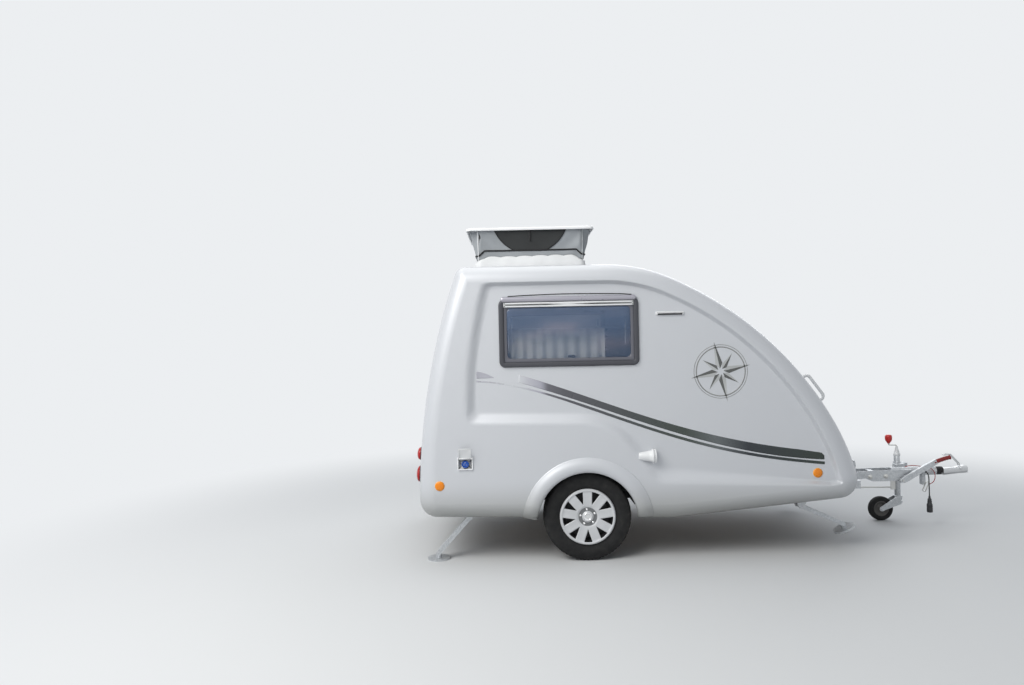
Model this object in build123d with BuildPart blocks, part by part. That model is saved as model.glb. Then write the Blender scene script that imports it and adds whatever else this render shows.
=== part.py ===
from build123d import *
import math
import os

# A small two-berth travel caravan with a drop-shaped moulded body, a pop-top
# roof and a braked single-axle chassis, standing parked on its wheels, its
# jockey wheel and its two rear steadies.
# Millimetres. +X points forward along the drawbar, +Y to the left, +Z up, and
# the ground is Z = 0. Places along the caravan are given as distances ahead of
# the axle, and ahead() turns them into X.

os.makedirs("parts", exist_ok=True)

# Overall places, ahead of the axle
COUPLING_NOSE = 3195
TAIL = -1238
AXLE_X = -(COUPLING_NOSE + TAIL) / 2


def ahead(distance):
    """X of a place this far ahead of the axle."""
    return AXLE_X + distance


# Wheels: 14 inch rims
TYRE_RADIUS = 312.5
TYRE_WIDTH = 185
TYRE_OUTER_Y = 900
TYRE_BEAD_RADIUS = 180
TYRE_SHOULDER = 28
RIM_RADIUS = 178
RIM_WIDTH = 150
RIM_WALL = 8
COVER_RADIUS = 198
COVER_SPOKES = 9
COVER_HUB_RADIUS = 66
COVER_WINDOW_INNER = 98
COVER_WINDOW_OUTER = 176
WHEEL_BOLT_CIRCLE = 112
AXLE_Z = TYRE_RADIUS

# Body
HALF_WIDTH = 940
PANEL_SUNK = 38
PANEL_HALF_WIDTH = HALF_WIDTH - PANEL_SUNK
WALL = 30
ROOF_EDGE_Z = 2088
ROOF_CROWN = 35
ROOF_REAR = -850
ROOF_BEND = 140
EDGE_ROUND = 110
EDGE_STEPS = 4
# Arcs of the front, from the flat roof down to the turned-under nose:
# radius on the centre line, radius at the side wall, turn in degrees
FRONT_ARCS = (
    (1250, 1200, 24.0),
    (2817, 2340, 36.4),
    (1152, 1880, 14.4),
    (134, 134, 100.7),
)
SILL_FRONT = (620, 285)
SILL_SLOPE = -0.0218
FOOT_ROUND = 125
TOP_ROUND = 75
LEAST_ROUND = 10
REAR_FOOT = (-1180, 480)
REAR_MIDDLE = (-1107, 1255)
REAR_TOP = (-905, 2032)
REAR_CROWN = 25
FLOOR_Z = 450
FLOOR_THICKNESS = 30

# Wheel arches
ARCH_RADIUS = 345
FLARE_RADIUS = 438
FLARE_PROUD = 26
FLARE_Y = HALF_WIDTH + FLARE_PROUD
HOUSING_WALL = 6
HOUSING_INNER_Y = 680

# Sizes: side panels sunk into the body
PANEL_MARGIN = 162
PANEL_SLOPE = 46
SHOULDER = ((-778, 1060), (170, 1050), (512, 622), (1745, 528))
SHOULDER_ROUNDS = (500, 150)
PANEL_REAR_TOP = (-668, 2010)
UNDER_REAR = -1075
UNDER_FRONT = 1700
UNDER_HALF_WIDTH = 800

# Sizes: openings of the body
SEAL_GAP = 8
WINDOW_REAR = -600
WINDOW_FRONT = 384
WINDOW_LOW = 1376
WINDOW_HIGH = 1856
WINDOW_RIM = 36
WINDOW_ROUND = 30
WINDOW_PROUD = 18
PANE_THICKNESS = 6
DOOR_WIDTH = 620
DOOR_LOW = 500
DOOR_HIGH = 1830
DOOR_ROUND = 60
DOOR_PANE_WIDTH = 400
DOOR_PANE_LOW = 1300
DOOR_PANE_HIGH = 1640
HATCH_REAR = -735
HATCH_FRONT = 10
HATCH_HALF_WIDTH = 375
UPSTAND_WALL = 24
UPSTAND_TOP = ROOF_EDGE_Z + 97
LID_REAR = -843
LID_FRONT = 128
LID_HALF_WIDTH = 450
LID_LIFT = 250
LID_THICKNESS = 40
LID_HIGH = UPSTAND_TOP + LID_LIFT
LID_LOW = LID_HIGH - LID_THICKNESS
LID_SKIN = 8
BELLOWS_WALL = 6

# Sizes: chassis
RAIL_Y = 450
RAIL_WIDTH = 50
RAIL_LOW = 390
RAIL_REAR = -1060
RAIL_FRONT = 2112
CROSS_WIDTH = 50
BEAM_AHEAD = 150
BEAM_SIZE = 80
BEAM_HALF_LENGTH = 560
ARM_THICKNESS = 30
STUB_RADIUS = 22
RUNNING_GAP = 0.3
ARM_ROOT_Y = 371
PLATE_REAR = 2330
PLATE_FRONT = 2640
PLATE_Y = 62
PLATE_LOW = 365
DRAWBAR_TOP = 450
STEEL = 6
SHAFT_Z = 432

# Sizes: steadies, each a name, the pivot ahead of the axle, its half spacing, the way the leg
# points, degrees that it is raised at rest
STEADIES = (
    ("rear", -840, 750, -1, 0),
    ("front", 1600, 600, 1, 24),
)
ARM_ROOT = STEADIES[1][1] + CROSS_WIDTH / 2
STEADY_PIVOT_Z = 300
STEADY_LENGTH = 340
STEADY_LOWERED = 48
STEADY_DEPTH = 32
STEADY_WIDTH = 60
STEADY_PIN = 8
PAD_RADIUS = 80
PAD_THICKNESS = 14

# Sizes: jockey wheel
JOCKEY_X = 2694
JOCKEY_Y = 150
JOCKEY_TUBE = 24
JOCKEY_STEM = 20.9
JOCKEY_TRAIL = 146
JOCKEY_RADIUS = 100
JOCKEY_WIDTH = 50
LEVER_PIVOT = (2619, 372)
LEVER_Y = -80
LEVER_LENGTH = 372
LEVER_RAISED = 27

# Sizes: side windows
WINDOW_CENTRE = (ahead((WINDOW_REAR + WINDOW_FRONT) / 2), (WINDOW_LOW + WINDOW_HIGH) / 2)
WINDOW_LENGTH = WINDOW_FRONT - WINDOW_REAR
WINDOW_HEIGHT = WINDOW_HIGH - WINDOW_LOW
GUTTER_HEIGHT = 26

# Sizes: rear door
HINGE_Y = DOOR_WIDTH / 2
HINGE_HEIGHTS = (900, 1430)
HINGE_PIN = 5
HINGE_KNUCKLE = 10
HINGE_LENGTH = 44
HINGE_OUT = 16
REAR_MIDDLE_X = ahead(REAR_MIDDLE[0] - REAR_CROWN * (1 - (HINGE_Y / HALF_WIDTH) ** 2))
HINGE_LEAN = math.degrees(math.atan2(REAR_TOP[0] - REAR_FOOT[0], REAR_TOP[1] - REAR_FOOT[1]))
HINGE_POINT = Vector(REAR_MIDDLE_X - HINGE_OUT / math.cos(math.radians(HINGE_LEAN)), HINGE_Y, REAR_MIDDLE[1])
HINGE_WAY = Vector(math.sin(math.radians(HINGE_LEAN)), 0, math.cos(math.radians(HINGE_LEAN)))
HANDLE_Y = -255
HANDLE_LOW = 780
HANDLE_HIGH = 905

# Sizes: roof hatch upstand
HATCH_X = ahead((HATCH_REAR + HATCH_FRONT) / 2)
HATCH_LENGTH = HATCH_FRONT - HATCH_REAR
LID_X = ahead((LID_REAR + LID_FRONT) / 2)
LID_LENGTH = LID_FRONT - LID_REAR
LID_ROUND = 40
SOFT_GAP = 0.3
BELLOWS_TOP = LID_HIGH - 2 * LID_SKIN - SOFT_GAP

# Sizes: lamps
LAMP_Y = 745
LAMP_PROUD = 36
LAMP_DEPTH = 60
TAIL_LAMPS = ((617, 62), (764, 50))
PLATE_CENTRE = (520, 760)
PLATE_LENGTH = 340
PLATE_HEIGHT = 200
MARKER_RADIUS = 34
MARKER_THICKNESS = 12
MARKERS = ((-1035, 558, HALF_WIDTH), (1624, 590, PANEL_HALF_WIDTH))
FRONT_LAMP = (1990, 640, 600)
GRIP_TUBE = 11
GRIP_Y = 600
GRIP_STAND = 62
GRIP_HIGH = 51.6
GRIP_FOOT = 56.2
INLET_X = -853
INLET_Z = 709
INLET_LENGTH = 110
INLET_HEIGHT = 82
INLET_PROUD = 12
SOCKET_RADIUS = 25
FLAP_THICKNESS = 6
FLAP_RAISED = 152
FLAP_PIN = 2.5
FLAP_BARREL = 6
FLAP_LUG = 10
FLAP_Y = -HALF_WIDTH - INLET_PROUD - FLAP_BARREL - 1
FLAP_Z = INLET_Z + INLET_HEIGHT / 2
COWL_Z = 736
COWL_REAR = 363
COWL_FRONT = 455
COWL_MOUTH = 42
VENT_CENTRE = (ahead(605), 1736)
VENT_LENGTH = 200
VENT_HEIGHT = 26
VENT_PROUD = 12

# Sizes: chassis
RAIL_HIGH = FLOOR_Z
CROSS_MEMBERS = (-350, 900)
BEAM_Z = RAIL_LOW - BEAM_SIZE / 2

# Sizes: overrun device
HOUSING_REAR = 2560
HOUSING_FRONT = 2930
BELLOWS_FRONT = 2990
SHAFT_RADIUS = 25
HOUSING_RADIUS = 34
BALL_X = 3120
BALL_RADIUS = 25.5
BALL_Z = 412
HEAD_LOW = 393
HEAD_HIGH = 462

# Sizes: handbrake lever on its pin
LEVER_WIDTH = 25
ROD_FRONT = (2567, 304)
ROD_REAR = (BEAM_AHEAD + BEAM_SIZE / 2, 340)

# Sizes: jockey wheel
TUBE_LOW = 200
TUBE_HIGH = 565

# Sizes: road wheels
TYRE_INNER_Y = TYRE_OUTER_Y - TYRE_WIDTH
TYRE_MIDDLE_Y = TYRE_OUTER_Y - TYRE_WIDTH / 2
COVER_BACK_Y = TYRE_OUTER_Y - 20
HUB_FACE_Y = TYRE_OUTER_Y - 60

# Sizes: electrics cable
CABLE_RADIUS = 4.5
CABLE_ROUTE = ((2830, -42, 432), (2830, -68, 432), (2836, -84, 402), (2835, -87, 352), (2837, -86, 292),
               (2837, -86, 243))
PLUG_TOP = CABLE_ROUTE[-1][2]
PLUG_PROFILE = ((0, 0), (7, 0), (12, -24), (15, -26), (17, -60), (22, -68), (22, -128), (20, -132), (0, -132))

# Sizes: breakaway cable
BREAKAWAY_RADIUS = 3
BREAKAWAY_ROUTE = ((2652, -65, 477), (2692, -62, 489), (2745, -56, 484), (2800, -52, 476), (2852, -51, 468),
                   (2890, -52, 446), (2905, -53, 408), (2901, -53, 368), (2882, -52, 340), (2855, -52, 331))


# The rear's side line is part of one large circle
rear_arc = Edge.make_three_point_arc(*[(x, 0, z) for x, z in (REAR_FOOT, REAR_MIDDLE, REAR_TOP)])


def rear_at(z, shift):
    """How far ahead of the axle the rear wall is at this height."""
    rise = z - rear_arc.arc_center.Z
    return rear_arc.arc_center.X + shift - math.sqrt(rear_arc.radius ** 2 - rise ** 2)


def body_outline(y, half_width, gap):
    """The body's side outline at y, drawn in by gap all round. It is crowned
    most on the centre line."""
    crown = 1 - (y / half_width) ** 2
    roof_z = ROOF_EDGE_Z + ROOF_CROWN * crown - gap
    shift = gap - REAR_CROWN * crown
    foot_z = REAR_FOOT[1]
    for _ in range(8):
        foot_z = SILL_FRONT[1] + gap + (rear_at(foot_z, shift) - SILL_FRONT[0]) * SILL_SLOPE
    with BuildSketch(Plane.XZ.offset(-y)) as outline:
        with BuildLine():
            roof = Line((ahead(rear_at(roof_z, shift)), roof_z), (ahead(ROOF_BEND), roof_z))
            front = roof
            for radius_centre, radius_side, turn in FRONT_ARCS:
                radius = radius_side + (radius_centre - radius_side) * crown - gap
                front = JernArc(front @ 1, front % 1, radius, -turn)
            sill = Line(front @ 1, (ahead(SILL_FRONT[0]), SILL_FRONT[1] + gap))
            base = Line(sill @ 1, (ahead(rear_at(foot_z, shift)), foot_z))
            ThreePointArc(base @ 1, (ahead(rear_at(REAR_MIDDLE[1], shift)), REAR_MIDDLE[1]), roof @ 0)
        make_face()
        fillet(outline.vertices().sort_by(Axis.X)[:2].sort_by(Axis.Y)[0], max(FOOT_ROUND - gap, LEAST_ROUND))
        fillet(outline.vertices().sort_by(Axis.X)[:3].sort_by(Axis.Y)[-1], max(TOP_ROUND - gap, LEAST_ROUND))
    return outline.sketch.face()


def body_block(inset, half_width):
    """The closed body form, its skin set in by inset: a crowned middle, and
    each side edge rounded in steps."""
    edge_round = EDGE_ROUND - inset
    flat_y = half_width - edge_round
    middle = [body_outline(y, half_width, inset) for y in (-flat_y, 0, flat_y)]
    with BuildPart() as block:
        loft(middle)
        for side in (-1, 1):
            edge = []
            for step in range(EDGE_STEPS + 1):
                angle = math.radians(90 * step / EDGE_STEPS)
                y = side * (flat_y + edge_round * math.sin(angle))
                drawn_in = edge_round * (1 - math.cos(angle))
                edge.append(body_outline(y, half_width, inset + drawn_in))
            loft(edge, ruled=True)
    return block.part


# Side panels sunk into the body, above the shoulder line

# Openings of the body

# Chassis

# Steadies: name, pivot ahead of the axle, its half spacing, the way the leg
# points, degrees that it is raised at rest

# Jockey wheel, clamped to the left side of the drawbar


def side_plane(y):
    """The upright plane at y, drawn in X and Z, facing away from +Y."""
    return Plane.XZ.offset(-y)


outer = body_block(0, HALF_WIDTH)
inner = body_block(WALL, PANEL_HALF_WIDTH - WALL)

# Body shell: roof, walls, nose and skirt in one moulding
with BuildPart() as uncut_shell:
    add(outer)
    for side in (-1, 1):
        with BuildPart(mode=Mode.PRIVATE) as panel:
            with BuildSketch(side_plane(side * PANEL_HALF_WIDTH)) as sunk:
                with BuildLine():
                    shoulder = FilletPolyline(*[(ahead(x), z) for x, z in SHOULDER], radius=SHOULDER_ROUNDS)
                    Polyline(shoulder @ 1, (ahead(COUPLING_NOSE), SHOULDER[3][1]),
                             (ahead(COUPLING_NOSE), LID_HIGH), (ahead(PANEL_REAR_TOP[0]), LID_HIGH),
                             (ahead(PANEL_REAR_TOP[0]), PANEL_REAR_TOP[1]), shoulder @ 0)
                make_face()
                add(body_outline(side * PANEL_HALF_WIDTH, PANEL_HALF_WIDTH, PANEL_MARGIN), mode=Mode.INTERSECT)
            extrude(amount=-side * PANEL_SUNK, taper=-PANEL_SLOPE)
        add(panel.part, mode=Mode.SUBTRACT)
    add(inner, mode=Mode.SUBTRACT)

with BuildPart() as skirt_cavity:
    add(body_block(WALL, HALF_WIDTH - WALL))
    with BuildSketch(Plane.XY):
        with Locations((ahead((UNDER_REAR + UNDER_FRONT) / 2), 0)):
            with Locations((0, -HALF_WIDTH), (0, HALF_WIDTH)):
                Rectangle(UNDER_FRONT - UNDER_REAR, 2 * (HALF_WIDTH - UNDER_HALF_WIDTH))
    extrude(amount=FLOOR_Z, mode=Mode.INTERSECT)

with BuildPart() as body_shell:
    add(uncut_shell.part)
    add(skirt_cavity.part, mode=Mode.SUBTRACT)
    with BuildSketch(Plane.XY):
        with Locations((ahead((UNDER_REAR + UNDER_FRONT) / 2), 0)):
            Rectangle(UNDER_FRONT - UNDER_REAR, 2 * UNDER_HALF_WIDTH)
        with Locations((ahead((UNDER_FRONT + RAIL_FRONT) / 2), 0)):
            Rectangle(RAIL_FRONT - UNDER_FRONT + 200, 2 * (RAIL_Y + RAIL_WIDTH / 2 + SEAL_GAP))
    extrude(amount=FLOOR_Z, mode=Mode.SUBTRACT)
    with BuildSketch(side_plane(0)):
        with Locations((AXLE_X, AXLE_Z)):
            Circle(ARCH_RADIUS)
    extrude(amount=2 * HALF_WIDTH, both=True, mode=Mode.SUBTRACT)
    with BuildSketch(side_plane(0)):
        with Locations((ahead((WINDOW_REAR + WINDOW_FRONT) / 2), (WINDOW_LOW + WINDOW_HIGH) / 2)):
            RectangleRounded(WINDOW_FRONT - WINDOW_REAR - WINDOW_RIM,
                             WINDOW_HIGH - WINDOW_LOW - WINDOW_RIM, WINDOW_ROUND)
    extrude(amount=2 * HALF_WIDTH, both=True, mode=Mode.SUBTRACT)
    with BuildSketch(Plane.YZ.offset(ahead(TAIL - WALL))):
        with Locations((0, (DOOR_LOW + DOOR_HIGH) / 2)):
            RectangleRounded(DOOR_WIDTH, DOOR_HIGH - DOOR_LOW, DOOR_ROUND)
    extrude(amount=-TAIL + REAR_TOP[0], mode=Mode.SUBTRACT)
    with BuildSketch(Plane.XY.offset(ROOF_EDGE_Z - 2 * WALL)):
        with Locations((ahead((HATCH_REAR + HATCH_FRONT) / 2), 0)):
            Rectangle(HATCH_FRONT - HATCH_REAR, 2 * HATCH_HALF_WIDTH)
    extrude(amount=LID_HIGH - ROOF_EDGE_Z, mode=Mode.SUBTRACT)
body_shell.part.label = "body_shell"
export_step(body_shell.part, "parts/body_shell.step")

# Floor, let in round the wheel housings
with BuildPart() as floor_panel:
    add(inner)
    with BuildSketch(Plane.XY.offset(FLOOR_Z)):
        Rectangle(3 * COUPLING_NOSE, 3 * HALF_WIDTH)
    extrude(amount=FLOOR_THICKNESS, mode=Mode.INTERSECT)
    with BuildSketch(Plane.XY.offset(FLOOR_Z)):
        for side in (-1, 1):
            with Locations((AXLE_X, side * (HOUSING_INNER_Y + HALF_WIDTH) / 2)):
                Rectangle(2 * ARCH_RADIUS, HALF_WIDTH - HOUSING_INNER_Y + 2 * HOUSING_WALL)
    extrude(amount=FLOOR_THICKNESS, mode=Mode.SUBTRACT)
floor_panel.part.label = "floor_panel"
export_step(floor_panel.part, "parts/floor_panel.step")

# Wheel housings and the flared lips round the arches
wide_block = body_block(-FLARE_PROUD, FLARE_Y)
for name, side in (("right", -1), ("left", 1)):
    with BuildPart() as wheel_housing:
        with BuildSketch(side_plane(side * HALF_WIDTH)):
            with Locations((AXLE_X, AXLE_Z)):
                Circle(ARCH_RADIUS)
        extrude(amount=side * (HALF_WIDTH - HOUSING_INNER_Y + HOUSING_WALL))
        with BuildSketch(side_plane(side * HALF_WIDTH)):
            with Locations((AXLE_X, AXLE_Z)):
                Circle(ARCH_RADIUS - HOUSING_WALL)
        extrude(amount=side * (HALF_WIDTH - HOUSING_INNER_Y), mode=Mode.SUBTRACT)
        with BuildSketch(Plane.XY):
            Rectangle(3 * COUPLING_NOSE, 3 * HALF_WIDTH)
        extrude(amount=RAIL_LOW + HOUSING_WALL, both=True, mode=Mode.SUBTRACT)
        with BuildSketch(side_plane(side * HALF_WIDTH)):
            with Locations((AXLE_X, AXLE_Z)):
                Circle(2 * FLARE_RADIUS)
        extrude(amount=side * (HALF_WIDTH - PANEL_HALF_WIDTH), mode=Mode.SUBTRACT)
    wheel_housing.part.label = f"wheel_housing_{name}"
    export_step(wheel_housing.part, f"parts/wheel_housing_{name}.step")

    with BuildPart() as arch_flare:
        add(wide_block)
        with BuildSketch(side_plane(side * FLARE_Y)):
            with Locations((AXLE_X, AXLE_Z)):
                Circle(FLARE_RADIUS)
                Circle(ARCH_RADIUS, mode=Mode.SUBTRACT)
        extrude(amount=side * (FLARE_Y - UNDER_HALF_WIDTH), mode=Mode.INTERSECT)
        with BuildSketch(Plane.YZ.offset(AXLE_X)):
            with BuildLine():
                lip = Line((side * UNDER_HALF_WIDTH, AXLE_Z), (side * UNDER_HALF_WIDTH, AXLE_Z + FLARE_RADIUS))
                slope = Polyline(lip @ 1, (side * HALF_WIDTH, AXLE_Z + FLARE_RADIUS),
                                 (side * (FLARE_Y - 4), AXLE_Z + FLARE_RADIUS - 26),
                                 (side * FLARE_Y, AXLE_Z + FLARE_RADIUS - 48),
                                 (side * FLARE_Y, AXLE_Z + ARCH_RADIUS + 12),
                                 (side * (FLARE_Y - 12), AXLE_Z + ARCH_RADIUS), (side * (FLARE_Y - 12), AXLE_Z))
                Line(slope @ 1, lip @ 0)
            make_face()
        revolve(axis=Axis((AXLE_X, 0, AXLE_Z), (0, 1, 0)), revolution_arc=360, mode=Mode.INTERSECT)
        add(outer, mode=Mode.SUBTRACT)
        with BuildSketch(Plane.XY):
            Rectangle(3 * COUPLING_NOSE, 3 * HALF_WIDTH)
        extrude(amount=AXLE_Z, both=True, mode=Mode.SUBTRACT)
    arch_flare.part.label = f"arch_flare_{name}"
    export_step(arch_flare.part, f"parts/arch_flare_{name}.step")

# Side windows: a moulded frame with a rain gutter over a tinted pane
for name, side in (("right", -1), ("left", 1)):
    with BuildPart() as window_frame:
        with BuildSketch(side_plane(side * PANEL_HALF_WIDTH)):
            with Locations(WINDOW_CENTRE):
                RectangleRounded(WINDOW_LENGTH, WINDOW_HEIGHT, WINDOW_ROUND)
        extrude(amount=-side * WINDOW_PROUD)
        chamfer(window_frame.faces().sort_by(Axis.Y)[0 if side < 0 else -1].edges(), 6)
        with BuildSketch(side_plane(side * PANEL_HALF_WIDTH)):
            with Locations(WINDOW_CENTRE):
                RectangleRounded(WINDOW_LENGTH - WINDOW_RIM - 1, WINDOW_HEIGHT - WINDOW_RIM - 1, WINDOW_ROUND)
        extrude(amount=side * WALL)
        with BuildSketch(side_plane(side * (PANEL_HALF_WIDTH + WINDOW_PROUD))):
            with Locations((WINDOW_CENTRE[0], WINDOW_HIGH - GUTTER_HEIGHT)):
                Rectangle(WINDOW_LENGTH - 2 * WINDOW_ROUND, GUTTER_HEIGHT)
        extrude(amount=-side * WINDOW_PROUD / 2)
        with BuildSketch(side_plane(side * (PANEL_HALF_WIDTH + 2 * WINDOW_PROUD))):
            with Locations(WINDOW_CENTRE):
                RectangleRounded(WINDOW_LENGTH - 2 * WINDOW_RIM, WINDOW_HEIGHT - 2 * WINDOW_RIM, WINDOW_ROUND / 2)
        extrude(amount=side * (WALL + 3 * WINDOW_PROUD), mode=Mode.SUBTRACT)
    window_frame.part.label = f"window_frame_{name}"
    export_step(window_frame.part, f"parts/window_frame_{name}.step")

    with BuildPart() as window_pane:
        with BuildSketch(side_plane(side * (PANEL_HALF_WIDTH + PANE_THICKNESS))):
            with Locations(WINDOW_CENTRE):
                RectangleRounded(WINDOW_LENGTH - 2 * WINDOW_RIM, WINDOW_HEIGHT - 2 * WINDOW_RIM, WINDOW_ROUND / 2)
        extrude(amount=side * PANE_THICKNESS)
    window_pane.part.label = f"window_pane_{name}"
    export_step(window_pane.part, f"parts/window_pane_{name}.step")

# Rear door, cut from the same wall, with its pane, handle and hinge knuckles


def hinge_place(height):
    """Plane across the door's hinge line at this height."""
    reach = (height - HINGE_POINT.Z) / HINGE_WAY.Z
    return Plane(origin=HINGE_POINT + HINGE_WAY * reach, x_dir=(0, 1, 0), z_dir=HINGE_WAY)


with BuildPart() as rear_door:
    add(uncut_shell.part)
    with BuildSketch(Plane.YZ.offset(ahead(TAIL - WALL))):
        with Locations((0, (DOOR_LOW + DOOR_HIGH) / 2)):
            RectangleRounded(DOOR_WIDTH - 2 * SEAL_GAP, DOOR_HIGH - DOOR_LOW - 2 * SEAL_GAP, DOOR_ROUND - SEAL_GAP)
    extrude(amount=-TAIL + REAR_TOP[0], mode=Mode.INTERSECT)
    with BuildSketch(Plane.YZ.offset(ahead(TAIL - WALL))):
        with Locations((0, (DOOR_PANE_LOW + DOOR_PANE_HIGH) / 2)):
            RectangleRounded(DOOR_PANE_WIDTH, DOOR_PANE_HIGH - DOOR_PANE_LOW, WINDOW_ROUND)
    extrude(amount=-TAIL + REAR_TOP[0], mode=Mode.SUBTRACT)
    for height in HINGE_HEIGHTS:
        with BuildSketch(hinge_place(height)):
            Circle(HINGE_KNUCKLE)
            with Locations((-HINGE_KNUCKLE - 8, 0)):
                Rectangle(2 * HINGE_KNUCKLE + 16, HINGE_KNUCKLE)
        extrude(amount=HINGE_LENGTH)
        with BuildSketch(hinge_place(height)):
            with Locations((-HINGE_KNUCKLE - 22, -HINGE_OUT + 4)):
                Rectangle(12, 2 * HINGE_OUT + 12)
        extrude(amount=HINGE_LENGTH)
        with BuildSketch(hinge_place(height)):
            Circle(HINGE_PIN + RUNNING_GAP)
        extrude(amount=HINGE_LENGTH, mode=Mode.SUBTRACT)
rear_door.part.label = "rear_door"
export_step(rear_door.part, "parts/rear_door.step")

with BuildPart() as door_hinges:
    for height in HINGE_HEIGHTS:
        with BuildSketch(hinge_place(height - 10)):
            Circle(HINGE_KNUCKLE)
            with Locations((HINGE_KNUCKLE + 8, 0)):
                Rectangle(2 * HINGE_KNUCKLE + 16, HINGE_KNUCKLE)
            with Locations((HINGE_KNUCKLE + 22, -HINGE_OUT + 4)):
                Rectangle(12, 2 * HINGE_OUT + 12)
        extrude(amount=9.5)
        with BuildSketch(hinge_place(height - 10)):
            Circle(HINGE_PIN)
        extrude(amount=HINGE_LENGTH + 10)
    add(outer, mode=Mode.SUBTRACT)
door_hinges.part.label = "door_hinges"
export_step(door_hinges.part, "parts/door_hinges.step")

with BuildPart() as door_window:
    add(body_block(WALL / 3, PANEL_HALF_WIDTH - WALL))
    with BuildSketch(Plane.YZ.offset(ahead(TAIL - WALL))):
        with Locations((0, (DOOR_PANE_LOW + DOOR_PANE_HIGH) / 2)):
            RectangleRounded(DOOR_PANE_WIDTH, DOOR_PANE_HIGH - DOOR_PANE_LOW, WINDOW_ROUND)
    extrude(amount=-TAIL + REAR_TOP[0], mode=Mode.INTERSECT)
    add(body_block(WALL * 2 / 3, PANEL_HALF_WIDTH - WALL), mode=Mode.SUBTRACT)
door_window.part.label = "door_window"
export_step(door_window.part, "parts/door_window.step")

with BuildPart() as door_handle:
    with BuildSketch(Plane.XY.offset(HANDLE_LOW)):
        with Locations((ahead(TAIL + 40), HANDLE_Y)):
            RectangleRounded(80, 56, 12)
    extrude(amount=HANDLE_HIGH - HANDLE_LOW)
    add(outer, mode=Mode.SUBTRACT)
door_handle.part.label = "door_handle"
export_step(door_handle.part, "parts/door_handle.step")

# Roof hatch upstand, its fabric bellows and the lifting lid
with BuildPart() as roof_upstand:
    with BuildSketch(Plane.XY.offset(ROOF_EDGE_Z - WALL)):
        with Locations((HATCH_X, 0)):
            Rectangle(HATCH_LENGTH, 2 * HATCH_HALF_WIDTH)
            offset(amount=UPSTAND_WALL, kind=Kind.ARC)
            Rectangle(HATCH_LENGTH, 2 * HATCH_HALF_WIDTH, mode=Mode.SUBTRACT)
    extrude(amount=UPSTAND_TOP - ROOF_EDGE_Z + WALL)
    add(outer, mode=Mode.SUBTRACT)
roof_upstand.part.label = "roof_upstand"
export_step(roof_upstand.part, "parts/roof_upstand.step")

with BuildPart() as pop_top_lid:
    with BuildSketch(Plane.XY.offset(LID_LOW)):
        with Locations((LID_X, 0)):
            RectangleRounded(LID_LENGTH, 2 * LID_HALF_WIDTH, LID_ROUND)
    extrude(amount=LID_HIGH - LID_LOW)
    fillet(pop_top_lid.faces().sort_by(Axis.Z)[-1].edges(), 14)
    with BuildSketch(Plane.XY.offset(LID_LOW)):
        with Locations((LID_X, 0)):
            RectangleRounded(LID_LENGTH - 2 * LID_SKIN, 2 * (LID_HALF_WIDTH - LID_SKIN), LID_ROUND - LID_SKIN)
    extrude(amount=LID_HIGH - LID_LOW - 2 * LID_SKIN, mode=Mode.SUBTRACT)
pop_top_lid.part.label = "pop_top_lid"
export_step(pop_top_lid.part, "parts/pop_top_lid.step")

with BuildPart() as pop_top_fabric:
    for shrink, mode in ((0, Mode.ADD), (BELLOWS_WALL, Mode.SUBTRACT)):
        with BuildSketch(Plane.XY.offset(UPSTAND_TOP + SOFT_GAP)) as low:
            with Locations((HATCH_X, 0)):
                RectangleRounded(HATCH_LENGTH + 2 * (UPSTAND_WALL - shrink),
                                 2 * (HATCH_HALF_WIDTH + UPSTAND_WALL - shrink), LID_ROUND - shrink)
        with BuildSketch(Plane.XY.offset(BELLOWS_TOP)) as high:
            with Locations((LID_X, 0)):
                RectangleRounded(LID_LENGTH - 2 * (LID_SKIN + 12 + shrink),
                                 2 * (LID_HALF_WIDTH - LID_SKIN - 12 - shrink), LID_ROUND - shrink)
        loft(mode=mode)
pop_top_fabric.part.label = "pop_top_fabric"
export_step(pop_top_fabric.part, "parts/pop_top_fabric.step")

# Lamps, blank plate and handles
with BuildPart() as tail_lamps:
    for side in (-1, 1):
        for z, radius in TAIL_LAMPS:
            with BuildSketch(Plane.YZ.offset(ahead(TAIL + LAMP_PROUD))):
                with Locations((side * LAMP_Y, z)):
                    Circle(radius)
            extrude(amount=LAMP_DEPTH)
    add(outer, mode=Mode.SUBTRACT)
tail_lamps.part.label = "tail_lamps"
export_step(tail_lamps.part, "parts/tail_lamps.step")

with BuildPart() as plate_panel:
    with BuildSketch(Plane.YZ.offset(ahead(TAIL + LAMP_PROUD + 4))):
        with Locations(PLATE_CENTRE):
            RectangleRounded(PLATE_LENGTH, PLATE_HEIGHT, 10)
    extrude(amount=LAMP_DEPTH)
    add(outer, mode=Mode.SUBTRACT)
plate_panel.part.label = "plate_panel"
export_step(plate_panel.part, "parts/plate_panel.step")

with BuildPart() as marker_lamps:
    for side in (-1, 1):
        for x, z, y in MARKERS:
            with BuildSketch(side_plane(side * y)):
                with Locations((ahead(x), z)):
                    Circle(MARKER_RADIUS)
            extrude(amount=-side * MARKER_THICKNESS)
marker_lamps.part.label = "marker_lamps"
export_step(marker_lamps.part, "parts/marker_lamps.step")

with BuildPart() as front_lamps:
    for side in (-1, 1):
        with BuildSketch(Plane.YZ.offset(ahead(FRONT_LAMP[0]))):
            with Locations((side * FRONT_LAMP[1], FRONT_LAMP[2])):
                Circle(MARKER_RADIUS)
        extrude(amount=-LAMP_DEPTH * 2.5)
    add(outer, mode=Mode.SUBTRACT)
front_lamps.part.label = "front_lamps"
export_step(front_lamps.part, "parts/front_lamps.step")


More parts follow.
